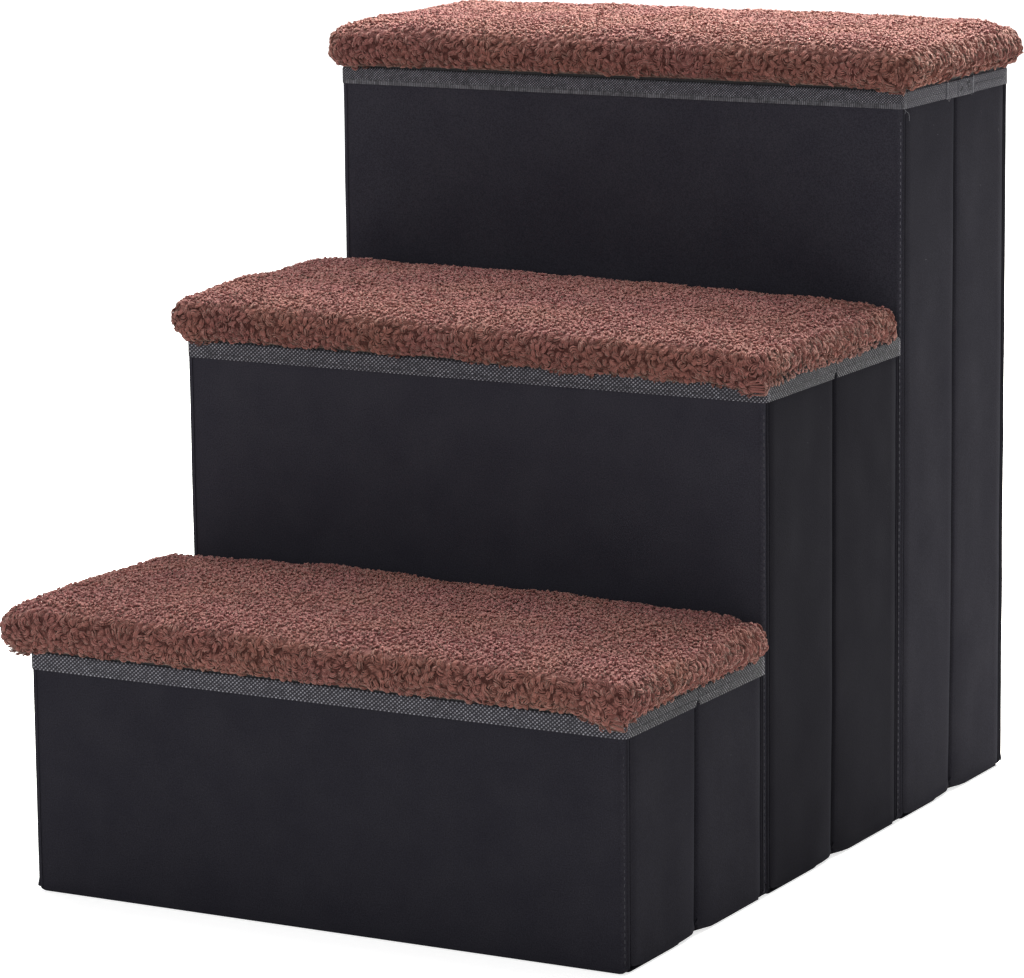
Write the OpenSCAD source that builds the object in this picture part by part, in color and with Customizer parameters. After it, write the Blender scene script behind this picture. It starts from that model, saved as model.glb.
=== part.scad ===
// Pet stairs: three cloth-covered storage boxes of rising height, one behind the other.
// Each box folds flat at the creases of its side walls, and has a loose fleece lid as its tread.
// The front is towards -y, the right side towards +x, and the floor is z = 0.

/* [Boxes] */
// Width of every box, over its cloth
box_w = 399; // [360:1:440]
// Depth of the lower box, over its cloth
lower_d = 179.5; // [160:0.5:210]
// Depth of the middle box, over its cloth
middle_d = 192.5; // [160:0.5:210]
// Depth of the upper box, over its cloth
upper_d = 164.5; // [150:0.5:210]
// Height of the lower box's rim above the floor
lower_h = 148; // [130:1:170]
// Height of the middle box's rim above the floor
middle_h = 310; // [280:1:340]
// Height of the upper box's rim above the floor
upper_h = 462; // [430:1:500]

/* [Walls] */
// Thickness of the fibreboard inside the walls
board_t = 3.5; // [3:0.1:5]
// Thickness of the cloth round the fibreboard
cloth_t = 0.8; // [0.6:0.1:1]
// Radius of the upright edges at the corners of a box
corner_r = 5; // [3:0.5:5]
// Radius of the lower corners of a wall, seen from its face
foot_r = 5; // [2:0.5:8]
// Width of the rounded hollow on each side of a crease
crease_w = 6.2; // [3:0.1:9]
// Depth of the hollow at a crease
crease_depth = 2.7; // [1.5:0.1:3.5]

/* [Rim tape] */
// Height of the binding tape on the face of a wall
tape_h = 11; // [9:0.5:14]
// Thickness of the binding tape
tape_t = 1; // [0.7:0.1:1.3]
// Radius of the fold along the top of the tape
tape_r = 1.8; // [1:0.1:2]

/* [Base] */
// Thickness of the stiff base flaps
flap_t = 3; // [2:0.1:3]
// Thickness of the floor cloth under the flaps
floor_cloth_t = 0.8; // [0.6:0.1:1]

/* [Lids] */
// How far a lid stands out past the front and the sides of its box
lid_overhang = 12; // [8:0.5:16]
// Height of a lid at its edge
lid_edge_h = 23; // [20:0.5:30]
// Rise of a lid from its edge to its middle
lid_crown = 4; // [2:0.5:8]
// Radius of the free corners of a lid
lid_corner_r = 15; // [12:1:30]
// Radius of the lid corners beside the next box
lid_riser_r = 26; // [12:1:40]
// Gap between a lid and the face of the next box
lid_gap = 2.5; // [1:0.5:8]
// Width of the soft rounded edge of a lid, seen from above
lid_soft_w = 10; // [6:0.5:12]
// Thickness of the lid's fibreboard with its lining
lid_board_t = 3.2; // [2.5:0.1:4]
// Radius of the corners of the lid's fibreboard
lid_board_r = 5; // [2:0.5:10]
// Thickness of the foam pad on the lid's fibreboard
pad_t = 11; // [8:0.5:14]
// Thickness of the fleece on the free edges of a lid
fleece_t = 11; // [8:0.5:13]
// Thickness of the fleece on the edge beside the next box
fleece_rear_t = 3.5; // [3:0.5:6]

/* [Hidden] */

// The boxes, the ends of a box and the sides of a box, as the modules below name them
LOWER = 0;
MIDDLE = 1;
UPPER = 2;
FRONT = 0;
BACK = 1;
LEFT = 0;
RIGHT = 1;

// Free play round a board in its cloth, and round a pad in its fleece
slip = 0.1;
// Gap between pieces that lie loosely against each other
rub_gap = 0.3;
// Gap on each side of a sewn fold, between the two stiff pieces that it joins
seam_gap = 0.3;
// Gap in the middle between the ends of the two base flaps, on each side
flap_end_gap = 0.4;
// Gap between the slanting ends of a base flap and the side walls
flap_side_gap = 4;
// How far the floor cloth stays inside the outer face of a side wall
floor_inset = 1.5;
// How far a cut runs past the piece it is taken from
overrun = 1;

// Thickness of a wall: board, cloth on both faces and the play between
wall_t = board_t + 2 * (cloth_t + slip);
// Gap between two boxes, which holds one rim tape
join_gap = tape_t + rub_gap;
// Height of the side walls and base flaps above the floor
base_lift = floor_cloth_t + 2 * rub_gap;
// Radius of the round hollow beside a crease
crease_r = (pow(crease_w, 2) + pow(crease_depth, 2)) / (2 * crease_depth);
// From the middle of a box to the inner face of a side wall
inner_x = box_w / 2 - wall_t;
// Half the width of a lid
lid_half_w = box_w / 2 + lid_overhang;

depths = [lower_d, middle_d, upper_d];
rims = [lower_h, middle_h, upper_h];
total_d = lower_d + middle_d + upper_d + 2 * join_gap;

// Front face, back face and half the inner depth of a box
function front_y(box) = box == LOWER ? -total_d / 2 : back_y(box - 1) + join_gap;
function back_y(box) = front_y(box) + depths[box];
function inner_half(box) = depths[box] / 2 - wall_t;

// Height of the cloth of a wall, up to the underside of the tape
function cloth_top(box) = rims[box] - tape_t;

// Front edge, back edge and rear corner radius of a lid
function lid_front(box) = front_y(box) - lid_overhang;
function lid_back(box) = back_y(box) + (box == UPPER ? lid_overhang : join_gap - lid_gap);
function lid_rear_r(box) = box == UPPER ? lid_corner_r : lid_riser_r;
function lid_rear_t(box) = box == UPPER ? fleece_t : fleece_rear_t;
function lid_z(box) = rims[box] + rub_gap;

// Section of a lid's edge from its underside up: how far in, as a share of the soft edge,
// and how high, as a share of the edge's height
lid_edge_shares = [
    [0.22, 0], [0.07, 0.1], [0, 0.28], [0.02, 0.5], [0.12, 0.7], [0.32, 0.86], [0.62, 0.96], [1, 1]
];
// Rings of a lid's crown, as shares of the way from the soft edge to the middle
lid_crown_shares = [0.12, 0.28, 0.5, 0.75];
// Least corner radius of a ring, as a share of the lid's own corner radius
ring_r_share = 0.25;
// Straight runs in a quarter turn of a lid's corner
arc_steps = 11;
// Facets of a full circle
round_steps = 96;

cloth_color = [0.14, 0.14, 0.16];
board_color = [0.55, 0.42, 0.28];
tape_color = [0.36, 0.36, 0.38];
flap_color = [0.1, 0.1, 0.11];
foam_color = [0.85, 0.83, 0.75];
fleece_color = [0.42, 0.2, 0.14];

// Flat shape that rounds the corner at the origin when it is cut from what lies in +x +y
module corner_cut(r) {
    difference() {
        translate([-overrun, -overrun])
            square(r + overrun);
        translate([r, r])
            circle(r, $fn = round_steps);
    }
}

// Flat rectangle with round corners: rear radius at +y, front radius at y = 0
module round_plate(w, d, front_r, rear_r) {
    difference() {
        translate([-w / 2, 0])
            square([w, d]);
        for (side = [0, 1])
            mirror([side, 0]) {
                translate([-w / 2, 0])
                    corner_cut(front_r);
                translate([-w / 2, d])
                    mirror([0, 1])
                        corner_cut(rear_r);
            }
    }
}

// Upright panel: outer face at y = 0, with its two upright outer edges rounded
module panel(w, t, h, edge_r) {
    difference() {
        translate([-w / 2, 0, 0])
            cube([w, t, h]);
        for (side = [0, 1])
            mirror([side, 0, 0])
                translate([-w / 2, 0, -overrun])
                    linear_extrude(h + 2 * overrun)
                        corner_cut(edge_r);
    }
}

// The same panel with its lower corners rounded as well
module footed_panel(w, t, h, edge_r, lower_r) {
    difference() {
        panel(w, t, h, edge_r);
        for (side = [0, 1])
            mirror([side, 0, 0])
                translate([-w / 2, t + overrun, 0])
                    rotate([90, 0, 0])
                        linear_extrude(t + 2 * overrun)
                            corner_cut(lower_r);
    }
}

// Puts a front or back wall in its place: y = 0 is its outer face and +y points into the box
module at_end(box, end) {
    if (end == FRONT)
        translate([0, front_y(box), 0])
            children();
    else
        translate([0, back_y(box), 0])
            mirror([0, 1, 0])
                children();
}

// Puts a half side wall in its place: x = 0 is its outer face and +x points into the box,
// y = 0 is the inner face of the front or back wall and +y points to the crease
module at_side(box, side, end) {
    mirror([side, 0, 0])
        at_end(box, end)
            translate([-box_w / 2, wall_t, 0])
                children();
}

// Fibreboard of a front or back wall
module wall_board(box) {
    skin = cloth_t + slip;
    translate([0, skin, skin])
        footed_panel(box_w - 2 * skin, board_t, cloth_top(box) - skin - slip, corner_r - skin, foot_r - skin);
}

// Sewn cloth sleeve of a front or back wall, open at the top where the tape closes it
module wall_cover(box) {
    difference() {
        footed_panel(box_w, wall_t, cloth_top(box), corner_r, foot_r);
        translate([0, cloth_t, cloth_t])
            footed_panel(
                box_w - 2 * cloth_t, wall_t - 2 * cloth_t, cloth_top(box),
                corner_r - cloth_t, foot_r - cloth_t
            );
    }
}

// Section of the folded tape, filled in: its width lies along x
module tape_section() {
    w = wall_t + 2 * tape_t;
    difference() {
        square([w, tape_h]);
        for (side = [0, 1])
            translate([side * w, tape_h])
                mirror([side, 0])
                    mirror([0, 1])
                        corner_cut(tape_r);
    }
}

// Tape over the rim of a front or back wall: it turns round both upright edges
module wall_tape(box) {
    outer_w = box_w + 2 * tape_t;
    inner_w = 2 * (inner_x - tape_t - rub_gap);
    intersection() {
        difference() {
            union() {
                translate([0, -tape_t, rims[box] - tape_h])
                    panel(outer_w, wall_t + tape_t, tape_h, corner_r + tape_t);
                translate([-inner_w / 2, wall_t, rims[box] - tape_h])
                    cube([inner_w, tape_t, tape_h]);
            }
            panel(box_w, wall_t, cloth_top(box), corner_r);
        }
        translate([-outer_w / 2, -tape_t, rims[box] - tape_h])
            rotate([90, 0, 90])
                linear_extrude(outer_w)
                    tape_section();
    }
}

// Flat shape that lets the outer face fall away beside a crease, which is at the origin
module crease_cut() {
    difference() {
        translate([-overrun, -crease_w])
            square([crease_depth + overrun, crease_w + overrun]);
        translate([crease_r, -crease_w])
            circle(crease_r, $fn = round_steps);
    }
}

// Half of a side wall: a board sewn into its cloth
module half_wall(box) {
    run = inner_half(box) - 2 * seam_gap;
    h = cloth_top(box) - base_lift;
    translate([0, seam_gap, base_lift])
        difference() {
            cube([wall_t, run, h]);
            translate([0, run, -overrun])
                linear_extrude(h + 2 * overrun)
                    crease_cut();
            for (end = [0, 1])
                translate([-overrun, end * run, 0])
                    mirror([0, end, 0])
                        rotate([90, 0, 90])
                            linear_extrude(wall_t + 2 * overrun)
                                corner_cut(foot_r);
        }
}

// Tape over the rim of half a side wall
module half_tape(box) {
    run = inner_half(box) - 2 * seam_gap;
    translate([-tape_t, seam_gap + run, rims[box] - tape_h])
        rotate([90, 0, 0])
            linear_extrude(run)
                difference() {
                    tape_section();
                    translate([tape_t, -overrun])
                        square([wall_t, tape_h - tape_t + overrun]);
                }
}

// Stiff base flap, sewn to the foot of a front or back wall: its ends slant at 45 degrees,
// so that it swings up inside the side walls as they fold
module base_flap(box) {
    run = inner_half(box) - seam_gap - flap_end_gap;
    root = inner_x - flap_side_gap;
    tip = root - run;
    translate([0, wall_t + seam_gap, base_lift])
        linear_extrude(flap_t)
            polygon([[-root, 0], [root, 0], [tip, run], [-tip, run]]);
}

// Soft cloth under the base flaps
module floor_cloth(box) {
    w = box_w - 2 * floor_inset;
    translate([-w / 2, front_y(box) + wall_t + seam_gap, rub_gap])
        cube([w, 2 * (inner_half(box) - seam_gap), floor_cloth_t]);
}

// Outline of the lid's stiff core, with a margin added all round
module lid_core(box, margin) {
    d = lid_back(box) - lid_rear_t(box) - lid_front(box) - fleece_t;
    translate([0, lid_front(box) + fleece_t - margin])
        round_plate(
            2 * (lid_half_w - fleece_t + margin), d + 2 * margin,
            lid_board_r + margin, lid_board_r + margin
        );
}

// Fibreboard of a lid, with the lining under it
module lid_board(box) {
    translate([0, 0, lid_z(box)])
        linear_extrude(lid_board_t)
            lid_core(box, 0);
}

// Foam pad on the fibreboard
module lid_pad(box) {
    translate([0, 0, lid_z(box) + lid_board_t])
        linear_extrude(pad_t)
            lid_core(box, 0);
}

// One corner of a ring, as points of a quarter turn
function corner_points(centre, r, start) = [
    for (step = [0 : arc_steps])
        let (a = start + 90 * step / arc_steps)
        [centre[0] + r * cos(a), centre[1] + r * sin(a)]
];

// Ring of points round a lid, this far in from its widest outline and this high
function lid_ring(box, inset, z) =
    let (
        x = lid_half_w - inset,
        y_front = lid_front(box) + inset,
        y_rear = lid_back(box) - inset,
        r_front = max(lid_corner_r - inset, lid_corner_r * ring_r_share),
        r_rear = max(lid_rear_r(box) - inset, lid_rear_r(box) * ring_r_share),
        flat_points = concat(
            corner_points([x - r_rear, y_rear - r_rear], r_rear, 0),
            corner_points([-x + r_rear, y_rear - r_rear], r_rear, 90),
            corner_points([-x + r_front, y_front + r_front], r_front, 180),
            corner_points([x - r_front, y_front + r_front], r_front, 270)
        )
    )
    [for (p = flat_points) [p[0], p[1], z]];

// Crowned cushion shape with drawn-in sides: rings of points joined by triangles
module lid_cushion(box) {
    half_d = (lid_back(box) - lid_front(box)) / 2;
    edge_rings = [
        for (s = lid_edge_shares)
            lid_ring(box, s[0] * lid_soft_w, lid_z(box) + s[1] * lid_edge_h)
    ];
    crown_rings = [
        for (s = lid_crown_shares)
            lid_ring(
                box, lid_soft_w + s * (half_d - lid_soft_w),
                lid_z(box) + lid_edge_h + lid_crown * (1 - pow(1 - s, 2))
            )
    ];
    rings = concat(edge_rings, crown_rings);
    count = len(rings);
    size = len(rings[0]);
    middle_y = (lid_back(box) + lid_front(box)) / 2;
    under = count * size;
    over = under + 1;
    points = concat(
        [for (ring = rings) for (p = ring) p],
        [[0, middle_y, lid_z(box)], [0, middle_y, lid_z(box) + lid_edge_h + lid_crown]]
    );
    faces = concat(
        [for (k = [0 : size - 1]) [under, k, (k + 1) % size]],
        [
            for (i = [0 : count - 2])
                for (k = [0 : size - 1])
                    let (low = i * size, high = low + size, next = (k + 1) % size)
                    each [
                        [low + k, high + k, high + next],
                        [low + k, high + next, low + next]
                    ]
        ],
        [for (k = [0 : size - 1]) [over, (count - 1) * size + (k + 1) % size, (count - 1) * size + k]]
    );
    polyhedron(points, faces);
}

// Fleece cover of a lid: it goes over the pad and round the edge of the board
module lid_fleece(box) {
    difference() {
        lid_cushion(box);
        translate([0, 0, lid_z(box) - overrun])
            linear_extrude(lid_board_t + pad_t + slip + overrun)
                lid_core(box, slip);
    }
}

module lower_front_board() { color(board_color) at_end(LOWER, FRONT) wall_board(LOWER); }
module lower_front_cover() { color(cloth_color) at_end(LOWER, FRONT) wall_cover(LOWER); }
module lower_front_tape() { color(tape_color) at_end(LOWER, FRONT) wall_tape(LOWER); }
module lower_back_board() { color(board_color) at_end(LOWER, BACK) wall_board(LOWER); }
module lower_back_cover() { color(cloth_color) at_end(LOWER, BACK) wall_cover(LOWER); }
module lower_back_tape() { color(tape_color) at_end(LOWER, BACK) wall_tape(LOWER); }
module lower_right_back_wall() { color(cloth_color) at_side(LOWER, RIGHT, BACK) half_wall(LOWER); }
module lower_right_back_tape() { color(tape_color) at_side(LOWER, RIGHT, BACK) half_tape(LOWER); }
module lower_right_front_wall() { color(cloth_color) at_side(LOWER, RIGHT, FRONT) half_wall(LOWER); }
module lower_right_front_tape() { color(tape_color) at_side(LOWER, RIGHT, FRONT) half_tape(LOWER); }
module lower_left_back_wall() { color(cloth_color) at_side(LOWER, LEFT, BACK) half_wall(LOWER); }
module lower_left_back_tape() { color(tape_color) at_side(LOWER, LEFT, BACK) half_tape(LOWER); }
module lower_left_front_wall() { color(cloth_color) at_side(LOWER, LEFT, FRONT) half_wall(LOWER); }
module lower_left_front_tape() { color(tape_color) at_side(LOWER, LEFT, FRONT) half_tape(LOWER); }
module lower_back_flap() { color(flap_color) at_end(LOWER, BACK) base_flap(LOWER); }
module lower_front_flap() { color(flap_color) at_end(LOWER, FRONT) base_flap(LOWER); }
module lower_floor_cloth() { color(cloth_color) floor_cloth(LOWER); }
module lower_lid_board() { color(flap_color) lid_board(LOWER); }
module lower_lid_pad() { color(foam_color) lid_pad(LOWER); }
module lower_lid_fleece() { color(fleece_color) lid_fleece(LOWER); }

module middle_front_board() { color(board_color) at_end(MIDDLE, FRONT) wall_board(MIDDLE); }
module middle_front_cover() { color(cloth_color) at_end(MIDDLE, FRONT) wall_cover(MIDDLE); }
module middle_front_tape() { color(tape_color) at_end(MIDDLE, FRONT) wall_tape(MIDDLE); }
module middle_back_board() { color(board_color) at_end(MIDDLE, BACK) wall_board(MIDDLE); }
module middle_back_cover() { color(cloth_color) at_end(MIDDLE, BACK) wall_cover(MIDDLE); }
module middle_back_tape() { color(tape_color) at_end(MIDDLE, BACK) wall_tape(MIDDLE); }
module middle_right_back_wall() { color(cloth_color) at_side(MIDDLE, RIGHT, BACK) half_wall(MIDDLE); }
module middle_right_back_tape() { color(tape_color) at_side(MIDDLE, RIGHT, BACK) half_tape(MIDDLE); }
module middle_right_front_wall() { color(cloth_color) at_side(MIDDLE, RIGHT, FRONT) half_wall(MIDDLE); }
module middle_right_front_tape() { color(tape_color) at_side(MIDDLE, RIGHT, FRONT) half_tape(MIDDLE); }
module middle_left_back_wall() { color(cloth_color) at_side(MIDDLE, LEFT, BACK) half_wall(MIDDLE); }
module middle_left_back_tape() { color(tape_color) at_side(MIDDLE, LEFT, BACK) half_tape(MIDDLE); }
module middle_left_front_wall() { color(cloth_color) at_side(MIDDLE, LEFT, FRONT) half_wall(MIDDLE); }
module middle_left_front_tape() { color(tape_color) at_side(MIDDLE, LEFT, FRONT) half_tape(MIDDLE); }
module middle_back_flap() { color(flap_color) at_end(MIDDLE, BACK) base_flap(MIDDLE); }
module middle_front_flap() { color(flap_color) at_end(MIDDLE, FRONT) base_flap(MIDDLE); }
module middle_floor_cloth() { color(cloth_color) floor_cloth(MIDDLE); }
module middle_lid_board() { color(flap_color) lid_board(MIDDLE); }
module middle_lid_pad() { color(foam_color) lid_pad(MIDDLE); }
module middle_lid_fleece() { color(fleece_color) lid_fleece(MIDDLE); }

module upper_front_board() { color(board_color) at_end(UPPER, FRONT) wall_board(UPPER); }
module upper_front_cover() { color(cloth_color) at_end(UPPER, FRONT) wall_cover(UPPER); }
module upper_front_tape() { color(tape_color) at_end(UPPER, FRONT) wall_tape(UPPER); }
module upper_back_board() { color(board_color) at_end(UPPER, BACK) wall_board(UPPER); }
module upper_back_cover() { color(cloth_color) at_end(UPPER, BACK) wall_cover(UPPER); }
module upper_back_tape() { color(tape_color) at_end(UPPER, BACK) wall_tape(UPPER); }
module upper_right_back_wall() { color(cloth_color) at_side(UPPER, RIGHT, BACK) half_wall(UPPER); }
module upper_right_back_tape() { color(tape_color) at_side(UPPER, RIGHT, BACK) half_tape(UPPER); }
module upper_right_front_wall() { color(cloth_color) at_side(UPPER, RIGHT, FRONT) half_wall(UPPER); }
module upper_right_front_tape() { color(tape_color) at_side(UPPER, RIGHT, FRONT) half_tape(UPPER); }
module upper_left_back_wall() { color(cloth_color) at_side(UPPER, LEFT, BACK) half_wall(UPPER); }
module upper_left_back_tape() { color(tape_color) at_side(UPPER, LEFT, BACK) half_tape(UPPER); }
module upper_left_front_wall() { color(cloth_color) at_side(UPPER, LEFT, FRONT) half_wall(UPPER); }
module upper_left_front_tape() { color(tape_color) at_side(UPPER, LEFT, FRONT) half_tape(UPPER); }
module upper_back_flap() { color(flap_color) at_end(UPPER, BACK) base_flap(UPPER); }
module upper_front_flap() { color(flap_color) at_end(UPPER, FRONT) base_flap(UPPER); }
module upper_floor_cloth() { color(cloth_color) floor_cloth(UPPER); }
module upper_lid_board() { color(flap_color) lid_board(UPPER); }
module upper_lid_pad() { color(foam_color) lid_pad(UPPER); }
module upper_lid_fleece() { color(fleece_color) lid_fleece(UPPER); }

lower_front_board();
lower_front_cover();
lower_front_tape();
lower_back_board();
lower_back_cover();
lower_back_tape();
lower_right_back_wall();
lower_right_back_tape();
lower_right_front_wall();
lower_right_front_tape();
lower_left_back_wall();
lower_left_back_tape();
lower_left_front_wall();
lower_left_front_tape();
lower_back_flap();
lower_front_flap();
lower_floor_cloth();
lower_lid_board();
lower_lid_pad();
lower_lid_fleece();
middle_front_board();
middle_front_cover();
middle_front_tape();
middle_back_board();
middle_back_cover();
middle_back_tape();
middle_right_back_wall();
middle_right_back_tape();
middle_right_front_wall();
middle_right_front_tape();
middle_left_back_wall();
middle_left_back_tape();
middle_left_front_wall();
middle_left_front_tape();
middle_back_flap();
middle_front_flap();
middle_floor_cloth();
middle_lid_board();
middle_lid_pad();
middle_lid_fleece();
upper_front_board();
upper_front_cover();
upper_front_tape();
upper_back_board();
upper_back_cover();
upper_back_tape();
upper_right_back_wall();
upper_right_back_tape();
upper_right_front_wall();
upper_right_front_tape();
upper_left_back_wall();
upper_left_back_tape();
upper_left_front_wall();
upper_left_front_tape();
upper_back_flap();
upper_front_flap();
upper_floor_cloth();
upper_lid_board();
upper_lid_pad();
upper_lid_fleece();
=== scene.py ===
import math

import bmesh
import bpy
import numpy as np
from mathutils import Matrix, Vector
from mathutils.kdtree import KDTree


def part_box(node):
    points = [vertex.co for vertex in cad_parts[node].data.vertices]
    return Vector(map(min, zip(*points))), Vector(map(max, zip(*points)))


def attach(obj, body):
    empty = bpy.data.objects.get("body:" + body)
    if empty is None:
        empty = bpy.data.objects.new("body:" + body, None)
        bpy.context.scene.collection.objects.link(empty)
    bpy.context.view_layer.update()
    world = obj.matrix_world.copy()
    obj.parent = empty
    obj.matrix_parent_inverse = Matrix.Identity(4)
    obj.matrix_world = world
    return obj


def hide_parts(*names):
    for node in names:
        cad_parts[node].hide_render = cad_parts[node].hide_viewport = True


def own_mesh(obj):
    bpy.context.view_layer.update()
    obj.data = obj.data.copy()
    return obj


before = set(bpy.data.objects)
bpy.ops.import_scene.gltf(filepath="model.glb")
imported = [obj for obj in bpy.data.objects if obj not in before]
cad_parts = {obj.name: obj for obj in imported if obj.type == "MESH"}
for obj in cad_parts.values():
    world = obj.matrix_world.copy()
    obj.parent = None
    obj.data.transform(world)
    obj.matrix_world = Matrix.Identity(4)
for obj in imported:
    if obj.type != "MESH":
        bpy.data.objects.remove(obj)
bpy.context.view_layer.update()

bl_info = {
    "name": "Pet stairs",
    "version": (1, 0, 0),
    "blender": (4, 5, 0),
    "location": "3D View > Sidebar > Pet stairs",
    "description": "Cloth, binding tape and curly fleece for folding pet stairs",
    "category": "Object",
}

BOXES = ("lower", "middle", "upper")
ENDS = ("front", "back")
SIDES = ("right", "left")
BACK_BODY = {"lower": "lower_middle_wall", "middle": "middle_upper_wall", "upper": "upper_back"}
FRONT_BODY = {"lower": "lower_front", "middle": "lower_middle_wall", "upper": "middle_upper_wall"}


# Sizes read from the frame

def corners(node):
    """Lowest and highest corner of a node of the frame."""
    lo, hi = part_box(node)
    return Vector(lo), Vector(hi)


def facing(end):
    """The way the outer face of a front or back wall looks along y."""
    return -1 if end == "front" else 1


def outward(side):
    """The way the outer face of a side wall looks along x."""
    return 1 if side == "right" else -1


def end_body(box, end):
    """The body that carries a front or back wall."""
    return FRONT_BODY[box] if end == "front" else BACK_BODY[box]


def faces_of(lo, hi, axis, out):
    """The levels of a wall's outer and inner face along an axis."""
    return (hi[axis], lo[axis]) if out > 0 else (lo[axis], hi[axis])


def crease_of(lo, hi, end):
    """Where half a side wall or its tape meets the crease, and the way from there along y."""
    return (hi.y, -1) if end == "front" else (lo.y, 1)


# Sizes and colours that a user would change

class StairCloth(bpy.types.PropertyGroup):
    """Napped cloth of the boxes"""
    front_color: bpy.props.FloatVectorProperty(
        name="Cloth colour", description="Colour of the napped cloth",
        subtype="COLOR", size=3, min=0, max=1, default=(0.0180, 0.0173, 0.0232))
    worn_color: bpy.props.FloatVectorProperty(
        name="Brushed colour", description="Colour where the nap is brushed the other way",
        subtype="COLOR", size=3, min=0, max=1, default=(0.0232, 0.0224, 0.0285))
    edge_radius: bpy.props.FloatProperty(
        name="Edge radius", description="Radius of the cloth over the edge of a board",
        unit="LENGTH", min=0.001, max=0.005, default=0.0030)
    soft_radius: bpy.props.FloatProperty(
        name="Inner radius", description="Radius of the edges that face into a box",
        unit="LENGTH", min=0.0003, max=0.002, default=0.0012)
    hem_radius: bpy.props.FloatProperty(
        name="Hem radius", description="Radius of the cloth under the lower edge of a board",
        unit="LENGTH", min=0.0005, max=0.0028, default=0.0018)
    strip_width: bpy.props.FloatProperty(
        name="Edge strip", description="How far the side cloth laps on to a front or back wall",
        unit="LENGTH", min=0.003, max=0.01, default=0.0034)
    foot_radius: bpy.props.FloatProperty(
        name="Foot radius", description="Radius of the lower corners of a wall",
        unit="LENGTH", min=0.001, max=0.008, default=0.005)
    crease_width: bpy.props.FloatProperty(
        name="Crease width", description="Width of the rounding beside a crease",
        unit="LENGTH", min=0.002, max=0.009, default=0.0034)
    sink: bpy.props.FloatProperty(
        name="Crease sink", description="How far the side cloth is drawn in at the foot of a crease",
        unit="LENGTH", min=0, max=0.004, default=0.0016)
    ripple: bpy.props.FloatProperty(
        name="Ripple", description="How far the cloth waves in and out",
        unit="LENGTH", min=0, max=0.002, default=0.0007)
    grid: bpy.props.FloatProperty(
        name="Grid", description="Size of the mesh squares that the cloth is cut into",
        unit="LENGTH", min=0.006, max=0.05, default=0.008)


class StairTape(bpy.types.PropertyGroup):
    """Woven binding tape of the rims"""
    # Partly painted light: the raised threads' paleness is partly their own colour and partly painted
    # highlight, and the dark between them is partly the tape's colour and partly painted shade
    thread_color_and_highlight: bpy.props.FloatVectorProperty(
        name="Thread colour and highlight", description="Colour of the raised threads of the tape",
        subtype="COLOR", size=3, min=0, max=1, default=(0.46, 0.455, 0.52))
    gap_color_and_shade: bpy.props.FloatVectorProperty(
        name="Gap colour and shade", description="Colour between the threads of the tape",
        subtype="COLOR", size=3, min=0, max=1, default=(0.020, 0.019, 0.026))
    thickness: bpy.props.FloatProperty(
        name="Tape thickness", description="Thickness of the tape",
        unit="LENGTH", min=0.0005, max=0.0012, default=0.00095)
    thread_pitch: bpy.props.FloatProperty(
        name="Thread pitch", description="Distance from one thread of the tape to the next",
        unit="LENGTH", min=0.0006, max=0.004, default=0.0028)
    fold_radius: bpy.props.FloatProperty(
        name="Fold radius", description="Radius of the fold along the top of the tape",
        unit="LENGTH", min=0.0005, max=0.002, default=0.0018)


class StairStitch(bpy.types.PropertyGroup):
    """Sewing thread"""
    length: bpy.props.FloatProperty(
        name="Stitch length", description="Length of one stitch",
        unit="LENGTH", min=0.001, max=0.006, default=0.0028)
    pitch: bpy.props.FloatProperty(
        name="Stitch pitch", description="Distance from one stitch to the next",
        unit="LENGTH", min=0.002, max=0.008, default=0.0041)
    thickness: bpy.props.FloatProperty(
        name="Thread thickness", description="Thickness of the sewing thread",
        unit="LENGTH", min=0.0002, max=0.001, default=0.00048)
    seam_color: bpy.props.FloatVectorProperty(
        name="Seam thread", description="Colour of the thread along the cloth's edges",
        subtype="COLOR", size=3, min=0, max=1, default=(0.10, 0.10, 0.12))
    tack_color: bpy.props.FloatVectorProperty(
        name="Tack thread", description="Colour of the bar tacks and loose ends",
        subtype="COLOR", size=3, min=0, max=1, default=(0.24, 0.24, 0.27))
    tape_color: bpy.props.FloatVectorProperty(
        name="Tape thread", description="Colour of the thread that holds the tape",
        subtype="COLOR", size=3, min=0, max=1, default=(0.012, 0.012, 0.018))


class StairFleece(bpy.types.PropertyGroup):
    """Curly fleece of the lids"""
    # Painted shade: the dark colour at the curls' roots and deep between them stands in for the shade there
    root_shade_color: bpy.props.FloatVectorProperty(
        name="Root shade colour", description="Colour deep between the curls",
        subtype="COLOR", size=3, min=0, max=1, default=(0.060, 0.019, 0.016))
    tip_color: bpy.props.FloatVectorProperty(
        name="Tip colour", description="Colour of the curls' tops",
        subtype="COLOR", size=3, min=0, max=1, default=(0.37, 0.150, 0.128))
    top_length: bpy.props.FloatProperty(
        name="Top curl length", description="Length of a curl on the tread, along its bend",
        unit="LENGTH", min=0.002, max=0.012, default=0.0036)
    edge_length: bpy.props.FloatProperty(
        name="Lock length", description="Length of a lock on the lid's edge, along its bend",
        unit="LENGTH", min=0.002, max=0.012, default=0.0062)
    top_spacing: bpy.props.FloatProperty(
        name="Top spacing", description="Least distance between curls on the tread",
        unit="LENGTH", min=0.0012, max=0.01, default=0.00185)
    edge_spacing: bpy.props.FloatProperty(
        name="Lock spacing", description="Least distance between locks on the lid's edge",
        unit="LENGTH", min=0.0012, max=0.01, default=0.0031)
    voxel: bpy.props.FloatProperty(
        name="Remesh size", description="Mesh size before the fleece is puffed up",
        unit="LENGTH", min=0.004, max=0.012, default=0.006)


# Selecting and cutting, as by hand

def clear():
    """Back to object mode with nothing selected."""
    if bpy.context.object and bpy.context.object.mode != "OBJECT":
        bpy.ops.object.mode_set(mode="OBJECT")
    bpy.ops.object.select_all(action="DESELECT")


def take(obj):
    """Makes an object the only selected one."""
    clear()
    obj.select_set(True)
    bpy.context.view_layer.objects.active = obj
    return obj


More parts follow.
